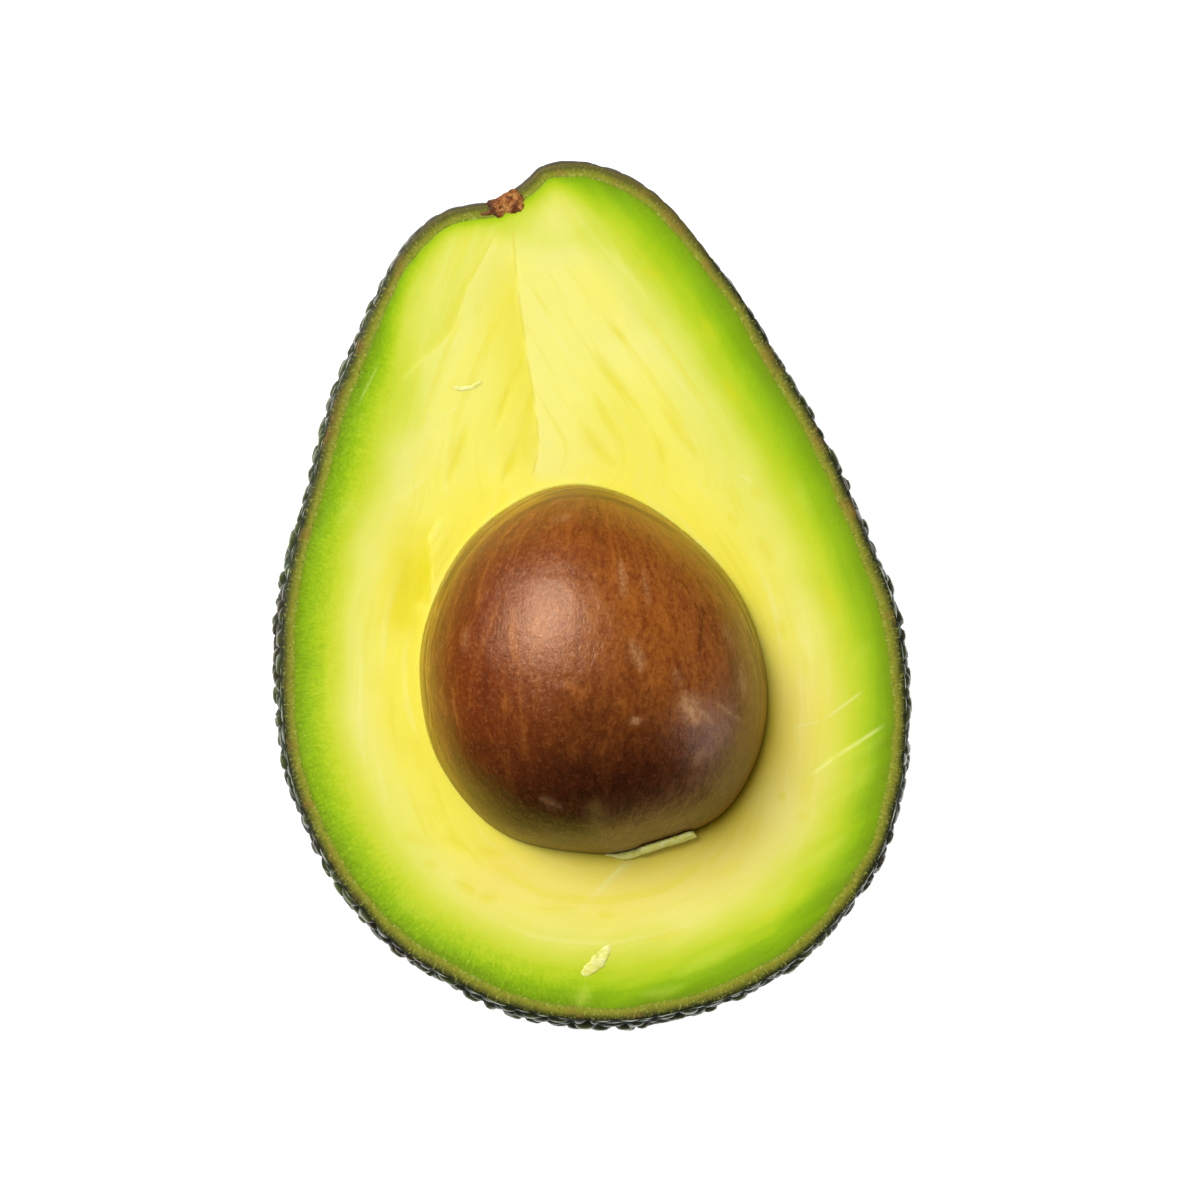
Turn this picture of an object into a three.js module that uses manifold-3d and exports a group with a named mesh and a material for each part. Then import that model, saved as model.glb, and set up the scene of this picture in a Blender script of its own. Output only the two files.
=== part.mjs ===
// Half of a ripe rough-skinned avocado, cut lengthways through the stem with its pit left in, lying on
// its back. Units are millimetres. +Z is up, out of the cut face, and +Y points to the stem end. The
// origin is on the resting surface, under the middle of the fruit's outline.
import * as THREE from "three";
import { LoftGeometry } from "three/addons/geometries/LoftGeometry.js";
import { mergeVertices } from "three/addons/utils/BufferGeometryUtils.js";
import Module from "manifold-3d";

const wasm = await Module();
wasm.setup();

// ---------- Driving dimensions ----------

const BACK_DEPTH = 38.5; // from the cut face to the deepest point of the back, before it flattens
const FLAT_DROP = 0.6; // how far the fruit's own weight flattens the back where it rests
const RIM_HEIGHT = BACK_DEPTH - FLAT_DROP; // the cut face above the resting surface
const PEEL_THICKNESS = 1.5;
const PIECE_GAP = 0.3; // clearance between pieces that grow or lie against each other

// The peel's outer edge on the cut face, anticlockwise from the right-hand side. The points lie
// closer together over the two shoulders and the hollow between them, where the stem sits.
const RIM_OUTLINE = [
  [34.4, -6.0], [33.2, -0.3], [31.1, 5.1], [26.5, 15.9], [20.0, 27.5], [16.7, 33.0],
  [13.7, 37.0], [9.0, 42.7], [4.9, 45.9], [0.6, 47.6], [-2.9, 48.0], [-5.6, 47.4],
  [-7.2, 45.9], [-8.9, 44.6], [-10.8, 43.6], [-13.3, 43.2], [-15.9, 42.6], [-18.2, 41.2],
  [-20.5, 38.8], [-23.1, 34.5], [-28.2, 22.6], [-31.1, 12.1], [-33.7, 2.0], [-34.5, -8.0],
  [-33.7, -18.2], [-31.7, -24.4], [-28.7, -30.4], [-25.8, -34.5], [-19.9, -40.0], [-6.9, -46.3],
  [7.4, -46.7], [21.2, -41.4], [30.4, -31.7], [34.0, -22.4], [34.9, -14.0],
];
const STEPS_PER_POINT = 3; // facets between two points of an outline
const MERGE_DISTANCE = 1e-4; // corners closer together than this are one corner

// The deepest point of the back. It is under the centre of mass, so that the half lies level.
const BACK_CENTRE = new THREE.Vector2(-1.0, -4.2);

// The cut passes a little above the widest part of the fruit, so the back swells out below the rim,
// most on the left and at the blossom end: [angle about the deepest point in degrees, swell]. A swell
// of 0.2 takes the back out past the rim by 2% of its radius.
const SWELL = [
  [0, 0.22], [45, 0.16], [75, 0.12], [100, 0.13], [125, 0.2], [150, 0.245], [178, 0.29],
  [200, 0.25], [235, 0.243], [268, 0.265], [290, 0.245], [315, 0.205], [340, 0.21], [360, 0.22],
];

// The stem sits in a dimple, which closes up below the cut face.
const STEM_PLACE = new THREE.Vector2(-9.65, 44.15);
const STEM_AXIS = new THREE.Vector2(-0.466, 0.885).normalize(); // out of the fruit
const DIMPLE_DEPTH = 0.8;
const DIMPLE_REACH = 6.0;
const DIMPLE_FILL = 12.0;

// The corky stub left where the fruit came off its stalk: [distance along the stem's axis, radius].
const STUB_PROFILE = [[-2.6, 1.1], [-2.2, 1.6], [-0.9, 2.0], [0.0, 2.15], [0.3, 2.0], [0.5, 1.5]];
const STUB_SIDES = 12;
const SOCKET_RISE = 2.2; // how far the stub's socket runs on past its top, out through the dimple

// The pit's widest outline, anticlockwise about its middle: [angle in degrees, radius].
const PIT_CENTRE = new THREE.Vector2(0.3, -8.5);
const PIT_OUTLINE = [
  [0, 19.1], [30, 18.4], [60, 18.75], [85, 20.4], [105, 21.05], [130, 20.4], [155, 19.6],
  [180, 19.45], [210, 20.0], [240, 20.65], [270, 20.2], [290, 20.2], [312, 21.3], [335, 20.4],
];
const PIT_HALF_HEIGHT = 19.0;
const PIT_LEVEL = -1.5; // the pit's widest level, from the cut face

// Scraps of flesh that the knife left. The shaving leans on the foot of the pit, between two angles
// about the pit's middle, and thins upwards and towards its ends. The other two lie on the cut face:
// [x, y] of each end and the width.
const SHAVING = { from: 274, to: 302, thickness: 0.6, height: 2.6 };
const SHAVING_STATIONS = 9;
const SHAVING_END = 0.3; // the share of its height and thickness left at its ends
const SHAVING_TOP = 0.6; // the thickness along its top, as a share of that at its foot
const CRUMB = { from: [-1.0, -42.2], to: [2.4, -38.8], width: 1.7, height: 0.7 };
const SLIVER = { from: [-15.9, 22.9], to: [-11.9, 24.0], width: 0.55, height: 0.45 };
const SCRAP_STATIONS = 7;
const SCRAP_END = 0.25; // the share of its width and height left at its ends
const SCRAP_ARCH_STEPS = 6; // facets over the top
const LYING_GAP = 0.05; // between a scrap and the cut face

// Colours and finishes
const finish = (color, roughness) => new THREE.MeshStandardMaterial({ color, roughness, metalness: 0 });
const PEEL_FINISH = finish(0x2c3318, 0.38);
const FLESH_FINISH = finish(0xe6e05a, 0.45);
const PIT_FINISH = finish(0x7a3f14, 0.32);
const STUB_FINISH = finish(0x9a6228, 0.85);
const SCRAP_FINISH = finish(0xf2f0a0, 0.5);

// ---------- Outlines ----------

// A smooth closed curve through the points, as Vector2s that run the same way round.
function closedCurve(points) {
  const knots = points.map(([x, y]) => new THREE.Vector3(x, y, 0));
  const curve = new THREE.CatmullRomCurve3(knots, true, "catmullrom", 0.5);
  const steps = points.length * STEPS_PER_POINT;
  return curve.getPoints(steps).slice(0, steps).map((p) => new THREE.Vector2(p.x, p.y));
}

// The same outline, moved inwards by a distance square to its own edge.
function inset(outline, distance) {
  const count = outline.length;
  return outline.map((point, i) => {
    const along = outline[(i + 1) % count].clone().sub(outline[(i + count - 1) % count]).normalize();
    return new THREE.Vector2(point.x - along.y * distance, point.y + along.x * distance);
  });
}

// A value from a table of [angle in degrees, value], smooth between its entries.
function atAngle(table, degrees) {
  const next = table.findIndex(([angle]) => angle > degrees);
  const [lowAngle, low] = table[next - 1];
  const [highAngle, high] = table[next];
  return THREE.MathUtils.lerp(low, high, THREE.MathUtils.smoothstep(degrees, lowAngle, highAngle));
}

// ---------- The fruit's back ----------

// One level ring of the back, below a rim outline. The angle runs from 0 at the rim to 90 degrees at
// the deepest point.
function backRing(rim, depth, angle) {
  const drop = depth * Math.sin(angle);
  const closed = 1 - Math.exp(-((drop / DIMPLE_FILL) ** 2));
  return rim.map((edge) => {
    const nearness = Math.exp(-((edge.distanceTo(STEM_PLACE) / DIMPLE_REACH) ** 2));
    const arm = edge.clone().addScaledVector(STEM_AXIS, DIMPLE_DEPTH * nearness * closed).sub(BACK_CENTRE);
    const swell = atAngle(SWELL, THREE.MathUtils.radToDeg(arm.angle()));
    arm.multiplyScalar(Math.cos(angle) * (1 + 0.5 * swell * Math.sin(2 * angle)));
    return new THREE.Vector3(BACK_CENTRE.x + arm.x, BACK_CENTRE.y + arm.y, RIM_HEIGHT - drop);
  });
}

// Rings from the flat spot at the height `lowest` up to the rim.
function backSections(rim, depth, lowest, rows) {
  const flatAngle = Math.asin((RIM_HEIGHT - lowest) / depth);
  return Array.from({ length: rows + 1 }, (_, i) => backRing(rim, depth, flatAngle * (1 - i / rows)));
}

const pointRing = (count, x, y, z) => Array.from({ length: count }, () => new THREE.Vector3(x, y, z));

const OUTER_ROWS = 14;
const INNER_ROWS = 10;
const peelRim = closedCurve(RIM_OUTLINE);
const peelInnerRim = inset(peelRim, PEEL_THICKNESS);
const fleshInset = PEEL_THICKNESS + PIECE_GAP;
const fleshRim = inset(peelRim, fleshInset);

// ---------- The pit ----------

const PIT_ROWS = 20;

// The pit's surface, grown outwards by a distance, as level rings from its foot to its top.
function pitSections(grown) {
  const outline = closedCurve(
    PIT_OUTLINE.map(([degrees, radius]) => {
      const angle = THREE.MathUtils.degToRad(degrees);
      return [(radius + grown) * Math.cos(angle), (radius + grown) * Math.sin(angle)];
    }),
  );
  const middle = RIM_HEIGHT + PIT_LEVEL;
  return Array.from({ length: PIT_ROWS + 1 }, (_, i) => {
    const angle = Math.PI * (i / PIT_ROWS - 0.5);
    const shrink = i === 0 || i === PIT_ROWS ? 0 : Math.cos(angle);
    const height = middle + (PIT_HALF_HEIGHT + grown) * Math.sin(angle);
    return outline.map(
      (p) => new THREE.Vector3(PIT_CENTRE.x + p.x * shrink, PIT_CENTRE.y + p.y * shrink, height),
    );
  });
}

// How far the pit's surface is from its middle, at an angle about the middle and a height above the rim.
function pitReach(degrees, height) {
  return atAngle(PIT_OUTLINE, degrees) * Math.sqrt(1 - ((height - PIT_LEVEL) / PIT_HALF_HEIGHT) ** 2);
}

// ---------- Solids ----------

// A closed solid through rings of points, from the first ring to the last.
function solidThrough(rings, caps) {
  const loft = new LoftGeometry(rings, caps);
  const skin = new THREE.BufferGeometry();
  skin.setAttribute("position", loft.attributes.position);
  skin.setIndex(loft.index);
  const merged = mergeVertices(skin, MERGE_DISTANCE);
  return new wasm.Manifold(
    new wasm.Mesh({
      numProp: 3,
      vertProperties: merged.attributes.position.array,
      triVerts: new Uint32Array(merged.index.array),
    }),
  );
}

function geometryOf(solid) {
  const { vertProperties, triVerts } = solid.getMesh();
  const geometry = new THREE.BufferGeometry();
  geometry.setAttribute("position", new THREE.Float32BufferAttribute(vertProperties, 3));
  geometry.setIndex(new THREE.Uint32BufferAttribute(triVerts, 1));
  geometry.computeVertexNormals();
  return geometry;
}

// A ring of the stub about the stem's axis, over half a turn below the cut face or all the way round.
function stubRing(along, radius, whole) {
  const side = new THREE.Vector2(STEM_AXIS.y, -STEM_AXIS.x);
  const middle = STEM_PLACE.clone().addScaledVector(STEM_AXIS, along);
  const turn = whole ? 2 * Math.PI : Math.PI;
  const count = whole ? 2 * STUB_SIDES : STUB_SIDES + 1;
  return Array.from({ length: count }, (_, i) => {
    const angle = (turn * i) / STUB_SIDES / (whole ? 2 : 1);
    const across = radius * Math.cos(angle);
    const height = RIM_HEIGHT - radius * Math.sin(angle);
    return new THREE.Vector3(middle.x + side.x * across, middle.y + side.y * across, height);
  });
}

const CAPPED = { capStart: true, capEnd: true };

function stemStub() {
  const rings = STUB_PROFILE.map(([along, radius]) => stubRing(along, radius, false));
  return geometryOf(solidThrough(rings, CAPPED));
}

// The room that the stub takes up in the peel and the flesh.
function stubSocket() {
  const room = STUB_PROFILE.map(([along, radius]) => [along, radius + PIECE_GAP]);
  room[0][0] -= PIECE_GAP;
  room.at(-1)[0] += SOCKET_RISE;
  return solidThrough(room.map(([along, radius]) => stubRing(along, radius, true)), CAPPED);
}

function peel() {
  const outside = backSections(peelRim, BACK_DEPTH, 0, OUTER_ROWS);
  const inside = backSections(peelInnerRim, BACK_DEPTH - PEEL_THICKNESS, PEEL_THICKNESS, INNER_ROWS);
  const floor = pointRing(peelRim.length, BACK_CENTRE.x, BACK_CENTRE.y, PEEL_THICKNESS);
  const shell = solidThrough([...outside, ...inside.reverse(), floor], { capStart: true });
  return geometryOf(shell.subtract(stubSocket()));
}

function flesh() {
  const rings = backSections(fleshRim, BACK_DEPTH - fleshInset, fleshInset, INNER_ROWS);
  const body = solidThrough(rings, CAPPED);
  const cavity = solidThrough(pitSections(PIECE_GAP));
  return geometryOf(body.subtract(cavity).subtract(stubSocket()));
}

// A thin curved scrap in the angle between the pit and the cut face, thinning towards its ends.
function fleshShaving() {
  const sections = Array.from({ length: SHAVING_STATIONS }, (_, i) => {
    const share = i / (SHAVING_STATIONS - 1);
    const degrees = THREE.MathUtils.lerp(SHAVING.from, SHAVING.to, share);
    const angle = THREE.MathUtils.degToRad(degrees);
    const fullness = SHAVING_END + (1 - SHAVING_END) * Math.sqrt(Math.sin(Math.PI * share));
    const corner = (outwards, height) => {
      const reach = pitReach(degrees, height) + PIECE_GAP + outwards;
      return new THREE.Vector3(
        PIT_CENTRE.x + reach * Math.cos(angle),
        PIT_CENTRE.y + reach * Math.sin(angle),
        RIM_HEIGHT + height,
      );
    };
    const top = SHAVING.height * fullness;
    const thick = SHAVING.thickness * fullness;
    return [
      corner(0, LYING_GAP),
      corner(0, top),
      corner(SHAVING_TOP * thick, top),
      corner(thick, LYING_GAP),
    ];
  });
  return geometryOf(solidThrough(sections, CAPPED));
}

// A low scrap with a flat foot on the cut face and a rounded top, running from one end to the other.
function lyingScrap({ from, to, width, height }) {
  const start = new THREE.Vector2(...from);
  const end = new THREE.Vector2(...to);
  const side = end.clone().sub(start).normalize().rotateAround(new THREE.Vector2(), Math.PI / 2);
  const sections = Array.from({ length: SCRAP_STATIONS }, (_, i) => {
    const share = i / (SCRAP_STATIONS - 1);
    const fullness = SCRAP_END + (1 - SCRAP_END) * Math.sin(Math.PI * share);
    const middle = start.clone().lerp(end, share);
    return Array.from({ length: SCRAP_ARCH_STEPS + 1 }, (_, j) => {
      const angle = (Math.PI * j) / SCRAP_ARCH_STEPS;
      const across = 0.5 * width * fullness * Math.cos(angle);
      const up = LYING_GAP + height * fullness * Math.sin(angle);
      return new THREE.Vector3(middle.x + side.x * across, middle.y + side.y * across, RIM_HEIGHT + up);
    });
  });
  return geometryOf(solidThrough(sections, CAPPED));
}

// ---------- The avocado ----------

function piece(name, geometry, material) {
  const mesh = new THREE.Mesh(geometry, material);
  mesh.name = name;
  return mesh;
}

const avocado = new THREE.Group();
avocado.add(
  piece("peel", peel(), PEEL_FINISH),
  piece("flesh", flesh(), FLESH_FINISH),
  piece("pit", geometryOf(solidThrough(pitSections(0))), PIT_FINISH),
  piece("stem_stub", stemStub(), STUB_FINISH),
  piece("flesh_shaving", fleshShaving(), SCRAP_FINISH),
  piece("flesh_crumb", lyingScrap(CRUMB), SCRAP_FINISH),
  piece("flesh_sliver", lyingScrap(SLIVER), SCRAP_FINISH),
);

// The origin is under the middle of the outline.
const extent = new THREE.Box3().setFromObject(avocado);
const middle = extent.getCenter(new THREE.Vector3());
avocado.position.set(-middle.x, -middle.y, -extent.min.z);

export default avocado;
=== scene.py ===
"""The looks of an avocado half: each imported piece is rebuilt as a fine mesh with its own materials.

Lengths are millimetres until a mesh is made. The fruit's own coordinates have +Y to the stem, z = 0 on
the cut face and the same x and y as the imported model's source; `in_row_frame` moves them to the frame.
"""

import math
from functools import reduce

import bpy
import numpy as np
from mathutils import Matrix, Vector, noise
from mathutils.kdtree import KDTree


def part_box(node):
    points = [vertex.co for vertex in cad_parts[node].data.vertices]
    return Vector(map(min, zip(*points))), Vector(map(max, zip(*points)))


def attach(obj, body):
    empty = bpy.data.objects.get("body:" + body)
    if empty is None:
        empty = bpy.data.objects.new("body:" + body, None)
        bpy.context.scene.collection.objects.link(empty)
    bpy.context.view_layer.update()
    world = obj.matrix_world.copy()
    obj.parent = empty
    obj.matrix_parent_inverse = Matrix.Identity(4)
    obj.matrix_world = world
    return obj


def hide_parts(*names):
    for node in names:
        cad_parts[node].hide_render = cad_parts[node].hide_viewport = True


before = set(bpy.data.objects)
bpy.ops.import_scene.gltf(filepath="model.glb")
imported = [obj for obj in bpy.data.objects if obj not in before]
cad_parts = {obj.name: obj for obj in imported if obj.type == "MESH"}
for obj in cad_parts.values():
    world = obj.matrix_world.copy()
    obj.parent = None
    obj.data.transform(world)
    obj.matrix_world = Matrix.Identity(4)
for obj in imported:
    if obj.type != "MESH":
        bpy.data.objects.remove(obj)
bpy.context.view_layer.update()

MM = 0.001

# ---------- The fruit's driving dimensions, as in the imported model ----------

BACK_DEPTH = 38.5
RIM_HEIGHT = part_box("peel")[1].z / MM
PEEL_THICKNESS = 1.5
RIM_OUTLINE = [
    (34.4, -6.0), (33.2, -0.3), (31.1, 5.1), (26.5, 15.9), (20.0, 27.5), (16.7, 33.0),
    (13.7, 37.0), (9.0, 42.7), (4.9, 45.9), (0.6, 47.6), (-2.9, 48.0), (-5.6, 47.4),
    (-7.2, 45.9), (-8.9, 44.6), (-10.8, 43.6), (-13.3, 43.2), (-15.9, 42.6), (-18.2, 41.2),
    (-20.5, 38.8), (-23.1, 34.5), (-28.2, 22.6), (-31.1, 12.1), (-33.7, 2.0), (-34.5, -8.0),
    (-33.7, -18.2), (-31.7, -24.4), (-28.7, -30.4), (-25.8, -34.5), (-19.9, -40.0), (-6.9, -46.3),
    (7.4, -46.7), (21.2, -41.4), (30.4, -31.7), (34.0, -22.4), (34.9, -14.0),
]
BACK_CENTRE = np.array([-1.0, -4.2])
SWELL = [
    (0, 0.22), (45, 0.16), (75, 0.12), (100, 0.13), (125, 0.2), (150, 0.245), (178, 0.29),
    (200, 0.25), (235, 0.243), (268, 0.265), (290, 0.245), (315, 0.205), (340, 0.21), (360, 0.22),
]
STEM_PLACE = np.array([-9.65, 44.15])
STEM_AXIS = np.array([-0.466, 0.885])
DIMPLE_DEPTH = 0.8
DIMPLE_REACH = 6.0
DIMPLE_FILL = 12.0

PIT_CENTRE = np.array([0.3, -8.5])
PIT_OUTLINE = [
    (0, 19.1), (30, 18.4), (60, 18.75), (85, 20.4), (105, 21.05), (130, 20.4), (155, 19.6),
    (180, 19.45), (210, 20.0), (240, 20.65), (270, 20.2), (290, 20.2), (312, 21.3), (335, 20.4),
]
PIT_HALF_HEIGHT = 19.0
PIT_LEVEL = -1.5

# ---------- Curves and noise ----------


def closed_curve(points, count):
    """A smooth closed curve through the points, as `count` places an equal length apart."""
    knots = np.array(points, float)
    before, here, after, later = (np.roll(knots, k, axis=0)[:, None] for k in (1, 0, -1, -2))
    t = np.linspace(0, 1, 24, endpoint=False)[None, :, None]
    fine = 0.5 * (
        2 * here
        + (after - before) * t
        + (2 * before - 5 * here + 4 * after - later) * t**2
        + (3 * here - before - 3 * after + later) * t**3
    )
    loop = fine.reshape(-1, 2)
    loop = np.vstack([loop, loop[:1]])
    travelled = np.concatenate([[0], np.cumsum(np.linalg.norm(np.diff(loop, axis=0), axis=1))])
    at = np.linspace(0, travelled[-1], count, endpoint=False)
    return np.column_stack([np.interp(at, travelled, loop[:, k]) for k in (0, 1)])


def inset(outline, distance):
    """The outline moved inwards, square to its edge, by one distance or by one for each point."""
    along = np.roll(outline, -1, axis=0) - np.roll(outline, 1, axis=0)
    along /= np.linalg.norm(along, axis=1, keepdims=True)
    inwards = np.column_stack([-along[:, 1], along[:, 0]])
    return outline + inwards * np.reshape(distance, (-1, 1))


def raised(level, height):
    """Level points as points in space, at one height or at one for each."""
    height = np.broadcast_to(height, level.shape[:-1])
    return np.concatenate([level, height[..., None]], axis=-1)


def smooth_noise(points, size, octaves=1, shift=0.0):
    """Noise of about -1 to 1 at each point, with features of that size in millimetres."""
    flat = np.reshape(points, (-1, 3)) / size + shift
    values = [noise.fractal(Vector(p), 1.0, 2.0, octaves) for p in flat]
    return np.reshape(values, np.shape(points)[:-1])


def fade(low, high, value):
    """0 below low, 1 above high, and smooth between."""
    t = np.clip((value - low) / (high - low), 0, 1)
    return t * t * (3 - 2 * t)


def angle_of(arm):
    """The angle of a level arm in degrees, from 0 to 360."""
    return np.degrees(np.arctan2(arm[..., 1], arm[..., 0])) % 360


def arm_at(degrees):
    """The level arm of length 1 at an angle."""
    return np.stack([np.cos(np.radians(degrees)), np.sin(np.radians(degrees))], axis=-1)


def at_angle(table, degrees):
    """A value from a table of (angle, value) from 0 to 360 degrees, smooth between its entries."""
    angles, values = np.array(table).T
    following = np.searchsorted(angles, degrees, side="right")
    low, high = angles[following - 1], angles[following]
    share = fade(0, 1, (degrees - low) / (high - low))
    return values[following - 1] * (1 - share) + values[following] * share


def around_pit(points):
    return angle_of(points[..., :2] - PIT_CENTRE)


pit_curve = closed_curve([radius * arm_at(degrees) for degrees, radius in PIT_OUTLINE], 720)


def pit_radius(degrees):
    """The pit's widest radius at an angle about its middle."""
    angle = angle_of(pit_curve)
    order = np.argsort(angle)
    return np.interp(degrees, angle[order], np.linalg.norm(pit_curve, axis=1)[order], period=360)


def pit_share(height):
    """The pit's radius at a height above the cut face, as a share of its widest radius."""
    return np.sqrt(1 - ((height - PIT_LEVEL) / PIT_HALF_HEIGHT) ** 2)


def path_distance(points, path):
    """Distance to a path, how far along it that is (0 to 1), and the distance signed + on its left."""
    path = np.array(path, float)
    best = np.full(len(points), 1e9)
    share = np.zeros(len(points))
    side = np.zeros(len(points))
    steps = np.diff(path, axis=0)
    lengths = np.linalg.norm(steps, axis=1)
    before = np.concatenate([[0], np.cumsum(lengths)])
    for start, step, length, done in zip(path, steps, lengths, before):
        offset = points - start
        t = np.clip(offset @ step / length**2, 0, 1)
        distance = np.linalg.norm(offset - t[:, None] * step, axis=1)
        nearer = distance < best
        best = np.where(nearer, distance, best)
        share = np.where(nearer, (done + t * length) / before[-1], share)
        turn = step[0] * offset[:, 1] - step[1] * offset[:, 0]
        side = np.where(nearer, np.sign(turn) * distance, side)
    return best, share, side


# ---------- Meshes ----------


def row_frame_shift():
    """From the fruit's coordinates to the frame: found from where the pit's outline is in each."""
    low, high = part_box("pit")
    packed = np.array([low.x + high.x, low.y + high.y]) / 2 / MM
    own = PIT_CENTRE + (pit_curve.min(axis=0) + pit_curve.max(axis=0)) / 2
    return np.array([*(packed - own), RIM_HEIGHT])


SHIFT = row_frame_shift()


def in_row_frame(points):
    return (np.reshape(points, (-1, 3)) + SHIFT) * MM


def add_object(name, data):
    made = bpy.data.objects.new(name, data)
    bpy.context.scene.collection.objects.link(made)
    return made


def skin_object(name, rings, materials, layers=None, material_of_row=None):
    """A closed mesh over rings of points that run over the top and down the outside.

    The first and last rings close on a point. `layers` holds values for each point of the rings, of
    shape (rows, columns) or (rows, columns, 3), and they become attributes of the mesh.
    """
    rows, columns = rings.shape[:2]
    points = np.vstack([rings.reshape(-1, 3), rings[0].mean(axis=0), rings[-1].mean(axis=0)])
    here = np.arange(rows * columns).reshape(rows, columns)
    following = np.roll(here, -1, axis=1)
    quads = np.stack([here[:-1], here[1:], following[1:], following[:-1]], axis=-1).reshape(-1, 4)
    first, last = np.full((2, columns), [[here.size], [here.size + 1]])
    top = np.column_stack([first, here[0], following[0]])
    bottom = np.column_stack([here[-1], last, following[-1]])
    faces = top.tolist() + quads.tolist() + bottom.tolist()
    mesh = bpy.data.meshes.new(name)
    mesh.from_pydata(in_row_frame(points).tolist(), [], faces)
    mesh.shade_smooth()
    for key, values in (layers or {}).items():
        width = 3 if values.ndim == 3 else 1
        ends = np.vstack([values[0].reshape(-1, width).mean(0), values[-1].reshape(-1, width).mean(0)])
        data = np.vstack([values.reshape(-1, width), ends]).astype(np.float32)
        kind, field = ("FLOAT_VECTOR", "vector") if width == 3 else ("FLOAT", "value")
        mesh.attributes.new(key, kind, "POINT").data.foreach_set(field, data.ravel())
    for material in materials:
        mesh.materials.append(material)
    if material_of_row is not None:
        index = np.concatenate([
            np.full(columns, material_of_row[0]),
            np.repeat(material_of_row[:-1], columns),
            np.full(columns, material_of_row[-1]),
        ])
        mesh.polygons.foreach_set("material_index", index.astype(np.int32))
    return add_object(name, mesh)


def ring_normals(rings):
    """Unit normals of rings that run over the top and down the outside."""
    around = np.roll(rings, -1, axis=1) - np.roll(rings, 1, axis=1)
    down = np.gradient(rings, axis=0)
    normals = np.cross(down, around)
    return normals / np.maximum(np.linalg.norm(normals, axis=2, keepdims=True), 1e-9)


# ---------- Node building ----------


LIGHT_ON_CUT = 1.4  # how much brighter the lit cut face looks than its own colour


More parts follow.
